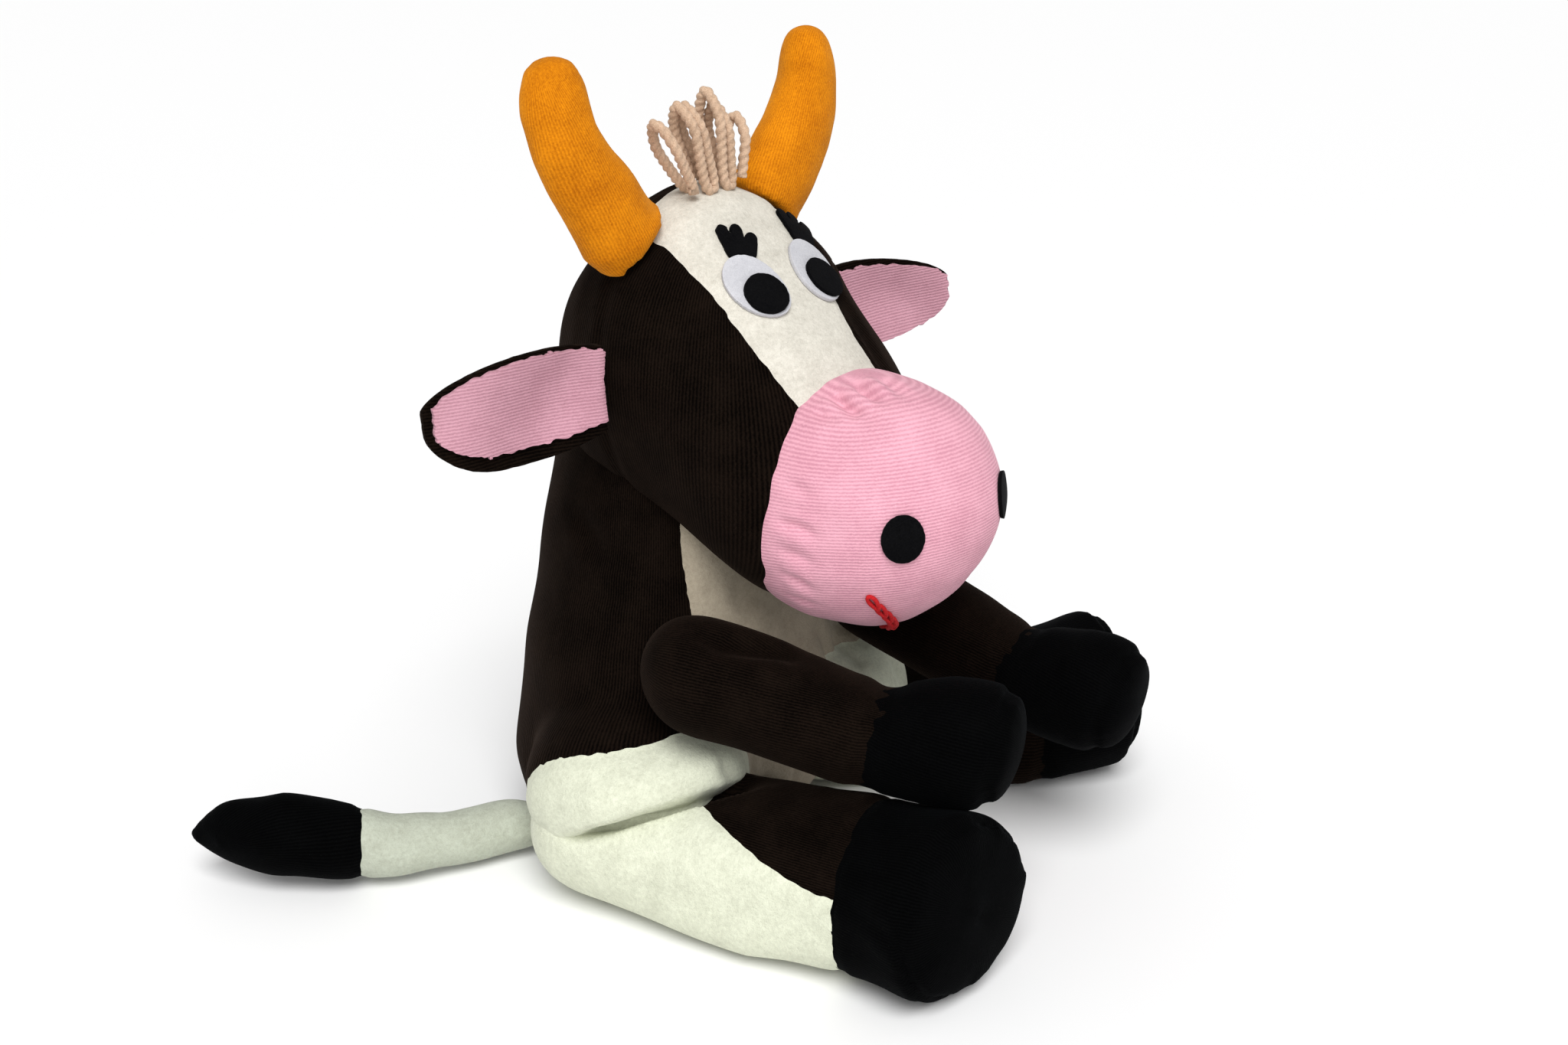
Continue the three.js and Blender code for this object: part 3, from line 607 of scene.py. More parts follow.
def leg_patch(word):
    """The bowed edge of a leg's cream patch. The left leg is turned back to lie as the right one does."""
    hip = LEGS[word][0]

    def distance(points):
        rel = points - hip
        if word == "left":
            x = rel[:, 0] * math.cos(LEFT_TURN) + rel[:, 1] * math.sin(LEFT_TURN)
            y = -rel[:, 0] * math.sin(LEFT_TURN) + rel[:, 1] * math.cos(LEFT_TURN)
            rel = np.stack([-x, y / LEFT_SHORT, rel[:, 2]], axis=1)
        down_leg = np.clip((-20 - rel[:, 1]) / 80, -0.1, 1.1)
        bow = 3.2 + 35.5 * down_leg - 32.1 * down_leg ** 2
        return -((rel - PATCH_POINT) @ PATCH_WAY) + bow
    return distance


def settle(piece, hip, way):
    """Spreads the under side of a leg, the way a soft leg lies on a table."""
    points = points_mm(piece)
    along = (points - hip) @ way
    side = unit(np.cross(way, (0, 0, 1)))
    wide = (points - hip) @ side
    tall = points[:, 2] - LEG_MIDDLE
    span = np.maximum(np.hypot(wide, tall), 1e-6)
    square = (np.abs(wide / span) ** 4 + np.abs(tall / span) ** 4) ** -0.25
    share = part(-tall / 10) * np.interp(along, *LEG_SPREAD)
    grown = 1 + (square - 1) * share
    points += side * (wide * (grown - 1))[:, None]
    points[:, 2] = np.maximum(LEG_MIDDLE + tall * grown, 1.2)
    put_mm(piece, points)


for word, (hip, way) in LEGS.items():
    skin = copy_node(f"leg_skin_{word}", f"leg_stuffing_{word}")
    stuff(skin, voxel=3.0, grow=2.2, cap=1.6, relax=12)
    settle(skin, hip, way)
    points = points_mm(skin)
    away = np.linalg.norm(points[:, :2] - hip[:2], axis=1)
    points[:, 2] *= 0.80 + 0.20 * part(away / 80) ** 1.3
    put_mm(skin, points)
    dome(skin, hip, way, LEG_LENGTH[word], radius=34, height=2.5)
    knead(skin, size=38, depth=0.7, seed=5 if word == "right" else 6)
    if word == "right":
        below, faces = drop_below(skin, HIP_CREASE)
        push_out(skin, -CREASE_DEPTH * faces * part(0.5 - below / CREASE_WIDTH))
    skins[f"leg_{word}"] = tree_of_skin(skin)
    cover, patch, hoof, sole = [f"leg_{piece}_{word}" for piece in ("cover", "patch", "hoof", "sole")]
    rules = [
        (sole, nearer([sole], [hoof, cover, patch], bias=0.6), 0.8),
        (hoof, nearer([hoof], [cover, patch, sole]), 1.0),
        (patch, leg_patch(word)),
    ]
    made = take_apart(skin, rules, cover, depth=0.7, width=1.8)
    for piece in made.values():
        thicken(piece)
        limb_weave(piece, hip, way, radius=30)
    seams = {name: (hip + 4 * way, hip + 52 * way) for name in (cover, patch)}
    hand_over(made, f"leg_{word}", stand_for={cover: [f"leg_stuffing_{word}"]}, seams=seams)
    print("leg", word, count_faces(made))

# %% [markdown]
# ## Tail
# A short cream tube that lies on the table and ends in a black tip like a leaf bud.

# %% Tail
TABLE = 0.9
TAIL_BOW = ([0, 15, 35, 55, 75, 95, 111], [0, -6, -9.5, -8, -3, 1.4, 3.6])
TAIL_SLIM = ([-14, 20, 58, 75], [0.74, 0.82, 1.03, 1.08])
ROOT_PULL = 8
skin = copy_node("tail_skin", "tail_stuffing")
stuff(skin, voxel=2.6, grow=0.8, cap=1.4, relax=5)
points = points_mm(skin)
root, way = np.array((-68, 84.6, TABLE)), unit((-80, 50, 0))
along = (points - root) @ way
side = np.array((way[1], -way[0], 0))
middle = np.interp(along, *TAIL_BOW)
slim = np.interp(along, *TAIL_SLIM)
wide = (points - root) @ side - middle
points += side * (wide * (slim - 1))[:, None]
points -= way * (ROOT_PULL * part((12 - along) / 20))[:, None]
points[:, 2] = TABLE + (points[:, 2] - TABLE) * slim
# The whole tail swings a little round a point near its middle.
swing = math.radians(8)
bend = np.array((-98, 104))
level = points[:, :2] - bend
points[:, 0] = bend[0] + level[:, 0] * math.cos(swing) + level[:, 1] * math.sin(swing)
points[:, 1] = bend[1] - level[:, 0] * math.sin(swing) + level[:, 1] * math.cos(swing)
put_mm(skin, points)
knead(skin, size=26, depth=0.5, seed=7)
skins["tail"] = tree_of_skin(skin)
seam_way = np.array(sight(472, 1050).cross(sight(472, 1145)).normalized())


def past_seam(points):
    """How far each point lies on the body's side of the seam, which is upright in the picture."""
    return ((points + SHIFT) * MM - np.array(camera.location)) @ seam_way / MM


if past_seam(np.array([(-75, 83, 12.0)]))[0] < 0:
    seam_way = -seam_way
made = take_apart(skin, [("tail_tip", past_seam, 0.9)], "tail_cover")
for piece in made.values():
    thicken(piece)
    limb_weave(piece, (-68, 84.6, 15), unit((-80, 50, 4)), radius=14)
seams = {"tail_cover": ((-64, 75, 12), (-88, 95, 12))}
hand_over(made, "tail", stand_for={"tail_cover": ["tail_stuffing"]}, seams=seams)
print("tail", count_faces(made))

# %% [markdown]
# ## Head
# The head is a tall stuffed ball that narrows towards the muzzle: two brown sides, a brown back and a
# cream blaze between the horns. A circle is extruded ring by ring, each ring resized to the drawing,
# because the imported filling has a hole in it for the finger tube.

# %% Ring tower
def ring_tower(name, rings, turn, sides=48):
    """A closed form from a circle that is extruded, resized and moved from ring to ring."""
    bpy.ops.mesh.primitive_circle_add(vertices=sides, radius=MM, fill_type="NGON", rotation=turn)
    piece = bpy.context.object
    piece.name = name
    piece.data.name = name
    bpy.ops.object.transform_apply(location=True, rotation=True, scale=True)
    bpy.ops.object.mode_set(mode="EDIT")
    bpy.ops.mesh.select_all(action="SELECT")
    spot = Vector((0, 0, 0))
    size = Vector((1, 1, 1))
    for step, (centre, half) in enumerate(rings):
        if step:
            bpy.ops.mesh.extrude_region_move()
        ratio = [new / old for new, old in zip(half, size)]
        bpy.ops.transform.resize(value=ratio, center_override=spot)
        target = place(*centre)
        bpy.ops.transform.translate(value=target - spot)
        spot = target
        size = Vector(half)
    bpy.ops.object.mode_set(mode="OBJECT")
    edit_all(bpy.ops.mesh.normals_make_consistent, inside=False)
    return piece


# Each ring's place from front to back, its height, half its height and half its width.
HEAD_RINGS = [
    (88.5, 175, 8, 7), (86.5, 175, 17.5, 15.5), (81, 176, 32, 28.5), (71, 179, 44.5, 38.5),
    (57, 183.5, 55, 45.5), (41, 186.5, 60.5, 50), (25, 184.5, 59, 50), (8, 174, 54, 47.5),
    (-10, 160, 49.5, 43), (-28, 149.5, 40.5, 38.5), (-46, 141, 33, 33),
]
rings = [((0, y, z), (half, 1, tall)) for y, z, tall, half in HEAD_RINGS]
skin = ring_tower("head_skin", rings, (math.pi / 2, 0, 0))
stuff(skin, voxel=3.2, grow=0.5, cap=2.0, relax=3)
points = points_mm(skin)
# Both cheeks are fuller and the jaw hangs, and the far side bulges at its cheek and its crown.
cheek = bell(points[:, 1], -18, 22)
jaw = bell(points[:, 1], 4, 26) * part((168 - points[:, 2]) / 36)
points[:, 0] *= 1 + 0.10 * cheek
points[:, 2] -= 4.5 * jaw
far_side = part(points[:, 0] / 22)
far_cheek = 5.0 * bell(points[:, 1], -12, 24) * bell(points[:, 2], 182, 24)
far_crown = 7.5 * bell(points[:, 1], 6, 24) * bell(points[:, 2], 222, 18)
points[:, 0] += far_side * (far_cheek + far_crown)
put_mm(skin, points)
knead(skin, size=44, depth=0.6, seed=8)
head_tree = tree_of_skin(skin)
heads = ["head_side_right", "head_side_left", "head_back_panel", "blaze_panel"]
rules = [(name, nearer([name], [other for other in heads if other != name])) for name in heads[1:]]
blaze = rules[-1][1]
HALF_BLAZE = 18


def blaze_edge(points):
    """The blaze is wider on the near side and round the far eye, and gives way to the far cheek below it."""
    near_more = 6 * part(-points[:, 0] / HALF_BLAZE)
    far_less = 6 * part(points[:, 0] / HALF_BLAZE) * part((214 - points[:, 2]) / 16)
    far_more = 30 * part(points[:, 0] / HALF_BLAZE) * part((points[:, 2] - 213) / 10)
    return blaze(points) - near_more + far_less - far_more


rules[-1] = ("blaze_panel", blaze_edge)
made = take_apart(skin, rules, heads[0], depth=0.9, width=2.0)
for piece in made.values():
    thicken(piece)
    upright_weave(piece, centre=(0, 25), radius=45)
hand_over(made, "head", stand_for={"head_back_panel": ["head_stuffing"]})
print("head", count_faces(made))

# %% [markdown]
# ## Muzzle
# A big pink ball, gathered where it is sewn to the face. A faint wave runs round the seam, and the
# deeper gathers are short folds that fade out towards the nose.

# %% Muzzle
MUZZLE_SEAT = np.array((0, -21.8, 149.5))
MUZZLE_TILT = 0.175
MUZZLE_AXIS = np.array((0, -math.cos(MUZZLE_TILT), -math.sin(MUZZLE_TILT)))
MUZZLE_UP = np.array((0, -math.sin(MUZZLE_TILT), math.cos(MUZZLE_TILT)))
RIB_TILT = 0.28
RIB_RADIUS = 42
# Points of the picture along each fold, its depth and its width.
GATHERS = [
    ([(1062, 534), (1080, 542), (1102, 548)], 1.5, 2.8), ([(1087, 511), (1104, 525), (1128, 543)], 3.2, 3.1),
    ([(1112, 498), (1130, 510), (1152, 525)], 2.8, 2.8), ([(1147, 491), (1164, 502), (1180, 520)], 1.2, 2.9),
    ([(1022, 632), (1042, 638), (1062, 645)], 0.9, 2.2), ([(1014, 682), (1040, 689), (1066, 700)], 1.5, 2.0),
    ([(1016, 716), (1040, 725), (1062, 736)], 0.9, 2.2), ([(1020, 748), (1042, 758), (1062, 769)], 1.3, 2.1),
    ([(1028, 776), (1048, 784), (1068, 790)], 0.9, 2.2),
]


def gather(piece, folds, depth, fade):
    """Draws the muzzle in by a faint wave round its seam, which fades away from the seam."""
    points = points_mm(piece)
    along = np.clip((points - MUZZLE_SEAT) @ MUZZLE_AXIS, 0, None)
    round_by = np.arctan2((points - MUZZLE_SEAT) @ MUZZLE_UP, points[:, 0])
    wave = np.sin(folds * round_by + 1.9 * np.sin(3 * round_by + 0.6) + 1.1 * np.sin(7 * round_by))
    uneven = 0.6 + 0.4 * np.sin(2 * round_by + 0.9) * np.sin(5 * round_by + 0.3)
    pull = depth * uneven * (0.5 + 0.5 * wave) ** 2 * (0.25 + along / 5) * np.exp(-along / fade)
    push_out(piece, -pull)


skin = copy_node("muzzle_cover_cloth", "muzzle_stuffing")
stuff(skin, voxel=3.0, grow=3.2, cap=1.6, relax=4, levels=2)
points = points_mm(skin)
along = (points - MUZZLE_SEAT) @ MUZZLE_AXIS
# The rear is wider and sits further back, and the chin is lifted.
rear = part(1 - along / 32)
chin = part((along - 18) / 35) * part((150 - points[:, 2]) / 30)
points[:, 0] += 3.0 * rear * np.clip(points[:, 0] / 25, -1, 1)
points[:, 1] += 5.0 * rear
points[:, 2] += 4.5 * chin
put_mm(skin, points)
gather(skin, folds=21, depth=0.3, fade=5.0)
for pixels, depth, width in GATHERS:
    fold(skin, pixels, depth, width, lip=0.35 * depth)
knead(skin, size=40, depth=0.4, seed=9)
muzzle_tree = tree_of_skin(skin)
from_seat = points_mm(skin) - MUZZLE_SEAT - 18 * MUZZLE_AXIS
front = math.cos(RIB_TILT) * MUZZLE_AXIS + math.sin(RIB_TILT) * MUZZLE_UP
pole = math.cos(RIB_TILT) * MUZZLE_UP - math.sin(RIB_TILT) * MUZZLE_AXIS
level = np.hypot(from_seat[:, 0], from_seat @ front)
rise = from_seat @ pole / np.hypot(level, from_seat @ pole)
lay_weave(skin, RIB_RADIUS * rise, RIB_RADIUS * np.arctan2(from_seat[:, 0], from_seat @ front))
smooth(skin)
hand_over({"muzzle_cover": skin}, "head", stand_for={"muzzle_cover": ["muzzle_stuffing"]})
print("muzzle", len(skin.data.polygons), "faces")

# %% [markdown]
# ## Horns
# Two flat stuffed horns of ribbed orange velour, sewn on beside the blaze.

# %% Horns
for word in ("right", "left"):
    skin = copy_node(f"horn_cover_{word}_cloth", f"horn_stuffing_{word}")
    stuff(skin, voxel=2.2, grow=1.8, cap=1.2, relax=4)
    knead(skin, size=24, depth=0.35, seed=10 if word == "right" else 11)
    side = -1 if word == "right" else 1
    root, way = np.array((side * 32, 38, 224)), unit((side * 33.5, 2.5, 59))
    points = points_mm(skin)
    along = (points - root) @ way
    # The root is pushed together, then one horn flares at it and the other is thicker above it.
    points += way * (0.6 * np.clip(14 - along, 0, None))[:, None]
    along = (points - root) @ way
    spread = points - root - along[:, None] * way
    if word == "right":
        flare = 0.10 + 0.30 * part(spread[:, 0] / 10)
        grown = flare * part((18 - along) / 18) ** 1.5
    else:
        grown = 0.15 * part((along - 12) / 20)
    points += spread * grown[:, None]
    # The open end is drawn down to the head.
    sewn = part((12 - along) / 5)
    for index in np.nonzero(sewn > 0)[0]:
        near, normal = head_tree.find_nearest(place(*points[index]))[:2]
        seat = np.array(near - normal * MM) / MM - SHIFT
        points[index] += 0.85 * sewn[index] * (seat - points[index])
    put_mm(skin, points)
    limb_weave(skin, root, way, radius=14)
    smooth(skin)
    cover = f"horn_cover_{word}"
    hand_over({cover: skin}, "head", stand_for={cover: [f"horn_stuffing_{word}"]})
    print("horn", word, len(skin.data.polygons), "faces")

# %% [markdown]
# ## Body
# The body is a soft bag that a hand goes into, so it is a wall of cloth and not a stuffed ball.
# It is a ring tower with two hip swellings joined to it, remeshed to one skin. The parts of that skin
# inside the sewn-on limbs are taken out, the bottom is left open, and the wall gets its thickness.

# %% Body form
# Each ring's height, half its width, half its depth and its place from front to back.
BODY_RINGS = [
    (-10, 24, 20, 66), (2, 43.5, 37.5, 62.7), (10, 56, 50, 57.5), (20, 63, 57, 54), (34, 66, 60, 52),
    (54, 63, 58, 51), (76, 59, 55.5, 50.5), (96, 54, 52, 51), (112, 49.5, 49, 52.5), (126, 45, 46, 53.5),
    (144, 40, 43, 54), (164, 34, 40, 54),
]
# Points of the picture along each fold, its depth and its width.
BODY_FOLDS = [
    ([(752, 771), (800, 783), (850, 790)], 1.3, 4.5), ([(760, 815), (810, 822), (860, 818)], 1.2, 5.0),
    ([(753, 671), (770, 700), (788, 722)], 1.8, 4.5), ([(962, 758), (972, 782), (985, 804)], 3.0, 4.5),
    ([(1088, 826), (1108, 848), (1133, 872)], 2.6, 4.0), ([(1058, 810), (1080, 842), (1092, 868)], 1.6, 4.0),
    ([(946, 980), (950, 1003), (958, 1024)], 1.6, 3.0),
]
HIP_MIDDLE = (50, 27, 40)
HIP_HALF = (40, 43, 32)
rings = [((0, y, z), (wide, deep, 1)) for z, wide, deep, y in BODY_RINGS]
skin = ring_tower("body_skin", rings, (0, 0, 0))
hips = []
for side in (-1, 1):
    middle = place(side * HIP_MIDDLE[0], *HIP_MIDDLE[1:])
    bpy.ops.mesh.primitive_uv_sphere_add(segments=32, ring_count=18, radius=MM, location=middle)
    hip = bpy.context.object
    hip.scale = HIP_HALF
    bpy.ops.object.transform_apply(location=True, rotation=True, scale=True)
    hips.append(hip)
pick(skin, *hips)
bpy.ops.object.join()
stuff(skin, voxel=3.0, grow=0.2, cap=2.0, relax=8)
knead(skin, size=48, depth=0.9, seed=12)
below, faces = drop_below(skin, HIP_CREASE)
crease = CREASE_DEPTH * part(0.4 + below / CREASE_WIDTH)
push_out(skin, faces * (3.0 * bell(below, -9, 8) - crease))
for pixels, depth, width in BODY_FOLDS:
    fold(skin, pixels, depth, width, lip=0.3 * depth)
print("body skin", len(skin.data.vertices), "points")

# %% Body panels
BURIED = 1.2


def inside_depth(tree, points):
    """How deep each point lies inside a closed skin."""
    metres = (points + SHIFT) * MM
    deep = np.empty(len(points))
    for index, point in enumerate(metres):
        near, normal, face, away = tree.find_nearest(point)
        deep[index] = away if (Vector(point) - near).dot(normal) < 0 else -away
    return deep / MM


BLUNT = 2.7
PATCH_LONG, PATCH_TALL = 46, 34
PATCH_SCALE = 33


def hip_patch(side):
    """A blunt oval that slopes with the hip, on one side of the body only."""
    def distance(points):
        along = points[:, 1] - 12
        up = points[:, 2] - 31 + 0.19 * along
        along_part = np.abs(along / PATCH_LONG) ** BLUNT
        up_part = np.abs(up / PATCH_TALL) ** BLUNT
        away = ((along_part + up_part) ** (1 / BLUNT) - 1) * PATCH_SCALE
        return np.where(points[:, 0] * side > 30, away, np.maximum(away, 20.0))
    return distance


NECK_LOW = np.array((0, 5, 102))
NECK_WAY = unit((0, -22, 95))
HEM_TOP = 4
FAR_EDGE = 60


def front_panel(points):
    """The cream front, from its near seam to its far one."""
    near_edge = -34 + 0.12 * np.clip(points[:, 2] - NECK_LOW[2], 0, None)
    rear_edge = 48 - 30 * part(points[:, 0] / 30)
    return np.max([near_edge - points[:, 0], points[:, 0] - FAR_EDGE, points[:, 1] - rear_edge], axis=0)


rules = [
    ("under", lambda points: points[:, 2] - HEM_TOP),
    ("hip_patch_right", hip_patch(-1)),
    ("hip_patch_left", hip_patch(1)),
    ("neck", lambda points: -((points - NECK_LOW) @ NECK_WAY), 0.0),
    ("belly_panel", front_panel),
    ("body_side_left", lambda points: -points[:, 0]),
]
centres = face_centres(skin)
buried = np.zeros(len(centres), bool)
for tree in skins.values():
    buried |= inside_depth(tree, centres) > BURIED
skin_open = take_panel(skin, "body_open", ~buried)
discard(skin)
made = take_apart(skin_open, rules, "body_side_right", depth=0.8, width=2.0)
discard(made.pop("under"))
neck = made.pop("neck")
necks = take_apart(neck, [("throat_panel", front_panel)], "neck_sleeve", depth=0.0, width=2.0)
for piece in list(made.values()) + list(necks.values()):
    thicken(piece, cloth=1.4)
    upright_weave(piece, centre=(0, 52), radius=58)
hand_over(made, "torso")
for name, piece in necks.items():
    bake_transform(piece)
    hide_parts(name)
print("body", count_faces({**made, **necks}))

# %% [markdown]
# ## Hem and finger tube
# The open bottom edge is turned under and sewn, so it is a rolled band. Inside the head there is a
# pocket of lining cloth for the fingers, open towards the body.

# %% Hem
HEM_RINGS = [(0.4, 38.6, 33.4, 63.6), (1.4, 42.4, 36.6, 62.9), (4.2, 47.4, 41.2, 61.4)]


def drop_faces(piece, chosen):
    """Deletes the chosen faces of the active piece, and keeps their edges."""
    bpy.ops.object.mode_set(mode="EDIT")
    bpy.ops.mesh.select_all(action="DESELECT")
    bpy.ops.object.mode_set(mode="OBJECT")
    for index in chosen:
        piece.data.polygons[index].select = True
    bpy.ops.object.mode_set(mode="EDIT")
    bpy.ops.mesh.delete(type="ONLY_FACE")
    bpy.ops.object.mode_set(mode="OBJECT")


rings = [((0, y, z), (wide, deep, 1)) for z, wide, deep, y in HEM_RINGS]
hem = ring_tower("opening_hem_roll", rings, (0, 0, 0), sides=96)
drop_faces(hem, [face.index for face in hem.data.polygons if len(face.vertices) > 4])
apply(hem, "SUBSURF", levels=1, render_levels=1)
thicken(hem, cloth=2.0)
apply(hem, "BEVEL", width=0.0006, segments=2)
upright_weave(hem, centre=(0, 62), radius=42)
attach(hem, "torso")
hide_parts("opening_hem")

# %% Finger tube
TUBE_RINGS = [(126.5, 15.6), (140, 14.6), (160, 14.8), (180, 14.4), (190, 11), (194.5, 5)]
rings = [((0, 64, z), (wide, wide, 1)) for z, wide in TUBE_RINGS]
tube = ring_tower("finger_tube_cloth", rings, (0, 0, 0), sides=40)
lowest = min(tube.data.polygons, key=lambda face: face.center.z)
drop_faces(tube, [lowest.index])
apply(tube, "SUBSURF", levels=2, render_levels=2)
knead(tube, size=22, depth=0.5, seed=13)
thicken(tube, cloth=1.0)
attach(tube, "head")
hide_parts("finger_tube")
print("hem", len(hem.data.polygons), "tube", len(tube.data.polygons))

# %% [markdown]
# ## Felt face pieces
# Eyes, lashes and nostrils are cut from felt sheet and glued on, so each follows the skin under it.
# A fine grid is cut along the outline, dropped on the skin, and given the felt's thickness and soft edge.

# %% Felt cutter
FELT_CELL = 0.8
ABOVE_SKIN = 0.03


def felt(name, tree, spot, up, outline, half, lift, thick):
    """A felt piece on a skin: its outline is cut from a square sheet with this half width."""
    near, normal = tree.find_nearest(place(*spot))[:2]
    across = Vector(up).cross(normal).normalized()
    upward = normal.cross(across)
    count = int(2 * half / FELT_CELL)
    bpy.ops.mesh.primitive_grid_add(x_subdivisions=count, y_subdivisions=count, size=2 * half * MM)
    sheet = bpy.context.object
    put_mm(sheet, points_mm(sheet) + SHIFT)
    cut_line(sheet, outline)
    piece = take_panel(sheet, name, outline(face_centres(sheet)) < 0)
    discard(sheet)
    flat = points_mm(piece)
    laid = []
    for u, v, w in flat:
        start = near + (across * u + upward * v) * MM + normal * ABOVE_SKIN
        hit, way = tree.ray_cast(start, -normal)[:2]
        laid.append(hit + way * lift * MM if hit else start - normal * ABOVE_SKIN)
    piece.data.vertices.foreach_set("co", np.array(laid).ravel())
    piece.data.update()
    if piece.data.polygons[0].normal.dot(normal) < 0:
        piece.data.flip_normals()
    apply(piece, "SMOOTH", factor=0.5, iterations=4)
    apply(piece, "SOLIDIFY", thickness=thick * MM, offset=1, use_rim=True)
    apply(piece, "BEVEL", width=0.00035, segments=2, limit_method="ANGLE", angle_limit=math.radians(50))
    pick(piece)
    bpy.ops.object.shade_smooth_by_angle(angle=math.radians(40))
    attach(piece, "head")
    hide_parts(name)
    return piece


def oval(wide, tall, right=0.0, up=0.0, turn=0.0):
    def distance(points):
        x, y = points[:, 0] - right, points[:, 1] - up
        u = x * math.cos(turn) + y * math.sin(turn)
        v = y * math.cos(turn) - x * math.sin(turn)
        return (np.sqrt((u / wide) ** 2 + (v / tall) ** 2) - 1) * min(wide, tall)
    return distance


def finger(points, start, end, round_by):
    start = np.array(start)
    way = np.array(end) - start
    flat = points[:, :2] - start
    share = part(flat @ way / (way @ way))
    return np.linalg.norm(flat - share[:, None] * way, axis=1) - round_by


LASH_TURN = -0.38
LASH_SIZE = 0.86
LASH_ROUND = 2.7
LOBES = [((2.6, -7), (6.6, 4.6)), ((0, -7), (0.6, 8)), ((-2.6, -7), (-5.6, 7.3))]


def lash(shift, lift):
    """Three lobes with a common foot, cut away where the eye is."""
    def distance(points):
        turned = points.copy()
        right, up = points[:, 0] - shift, points[:, 1] - lift
        turned[:, 0] = (right * math.cos(LASH_TURN) + up * math.sin(LASH_TURN)) / LASH_SIZE
        turned[:, 1] = (up * math.cos(LASH_TURN) - right * math.sin(LASH_TURN)) / LASH_SIZE
        shape = np.min([finger(turned, low, tip, LASH_ROUND) for low, tip in LOBES], axis=0)
        return np.maximum(shape * LASH_SIZE, -oval(10.5, 13.4, turn=0.3)(points))
    return distance


# The eye's place and lean, how far the lash sits from the eye's middle, and the nostril's place.
FACE = {
    "right": ((-15.5, -1, 218), 0.3, (3.6, 15.4), (-25.5, -67, 148.5)),
    "left": ((15.5, -1, 218), -0.25, (8.0, 17.2), (17.0, -73.5, 151.5)),
}
BROW_UP = (0, 0.7, 0.7)
felts = []
for word, (eye, lean, brow, nose) in FACE.items():
    white = oval(10.3, 13.2, turn=lean)
    pupil = oval(8, 8, right=0.5, up=-4.2)
    for name, outline, half, lift, thick in (
        ("white", white, 15, 0.2, 1.4), ("pupil", pupil, 14, 1.7, 1.3), ("lash", lash(*brow), 34, 0.2, 1.3),
    ):
        felts.append(felt(f"eye_{name}_{word}", head_tree, eye, BROW_UP, outline, half, lift, thick))
    nostril = oval(7, 8)
    felts.append(felt(f"nostril_{word}", muzzle_tree, nose, (0, 0, 1), nostril, half=10, lift=0.2, thick=1.3))
print("felt pieces:", [piece.name for piece in felts])

# %% [markdown]
# ## Mouth
# The mouth is a line of chain stitch in thick red thread. One stitch is a ring of thread pulled long,
# copied along the line so that each loop starts inside the one before.

# %% Mouth stitch
MOUTH_TILT = 0.607
MOUTH_BACK = np.array((0, -40, 146))
MOUTH_UP = np.array((0, -math.sin(MOUTH_TILT), math.cos(MOUTH_TILT)))
MOUTH_OUT = np.array((0, -math.cos(MOUTH_TILT), -math.sin(MOUTH_TILT)))
MOUTH_HALF = 31
MOUTH_SAG = 21
MOUTH_DIP = 9


def mouth_spot(share):
    """A place on the muzzle and its normal. The share runs from -1 at the near corner to 1 at the far one."""
    across = MOUTH_HALF * share - 1
    dip = MOUTH_DIP * math.exp(-(((share - 0.12) / 0.36) ** 2))
    drop = -4 - MOUTH_SAG * (1 - abs(share) ** 1.15) - dip
    flat = MOUTH_BACK + np.array((across, 0, 0)) + MOUTH_UP * drop
    start = place(*(flat + MOUTH_OUT * 60))
    return muzzle_tree.ray_cast(start, -Vector(MOUTH_OUT))[:2]


STITCHES = 15
MARKS = 4
OVERLAP = 1
LOOP_WIDE = 0.0011
LOOP_LIFT = 0.0011
TIP_LIFT = 0.0005
THREAD = 0.0019
line = [mouth_spot(-0.97 + 1.94 * step / (MARKS * STITCHES)) for step in range(MARKS * STITCHES + 1)]
loops = []
for index in range(STITCHES):
    first, last = line[MARKS * index], line[min(MARKS * (index + 1) + OVERLAP, MARKS * STITCHES)]
    middle = (first[0] + last[0]) / 2
    normal = (first[1] + last[1]).normalized()
    along = (last[0] - first[0]).normalized()
    across = normal.cross(along).normalized()
    bpy.ops.mesh.primitive_torus_add(
        major_segments=28, minor_segments=10, major_radius=1.0, minor_radius=0.42,
    )
    loop = bpy.context.object
    length = (last[0] - first[0]).length / 2 - 0.0003
    turn = Matrix((along, across, normal)).transposed()
    points = np.array([vertex.co for vertex in loop.data.vertices])
    ring = np.arctan2(points[:, 1], points[:, 0])
    core = np.stack([np.cos(ring), np.sin(ring), 0 * ring], axis=1)
    slim = LOOP_WIDE * (1 - 0.35 * core[:, 0])
    laid = core * np.stack([0 * ring + length, slim, 0 * ring], axis=1) + (points - core) * THREAD
    laid[:, 2] += LOOP_LIFT + TIP_LIFT * core[:, 0]
    spots = [middle + turn @ Vector(point) for point in laid]
    loop.data.vertices.foreach_set("co", np.array(spots).ravel())
    loops.append(loop)
pick(*loops)
bpy.ops.object.join()
mouth = loops[0]
mouth.name = "mouth_chain"
smooth(mouth)
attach(mouth, "head")
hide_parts("mouth_stitch")
print("mouth", len(mouth.data.polygons), "faces in", STITCHES, "stitches")

# %% [markdown]
# ## Yarn tuft
# The forelock is one length of soft two-ply yarn, laid in loops and sewn down between the horns.
# Its route is the drawing's, with loops that sway and lean more, and it is set down on the head.
# The tube round it has two plies that twist along it.

# %% Smooth line through points
def between(one, two, start, end, now):
    return one * (end - now) / (end - start) + two * (now - start) / (end - start)


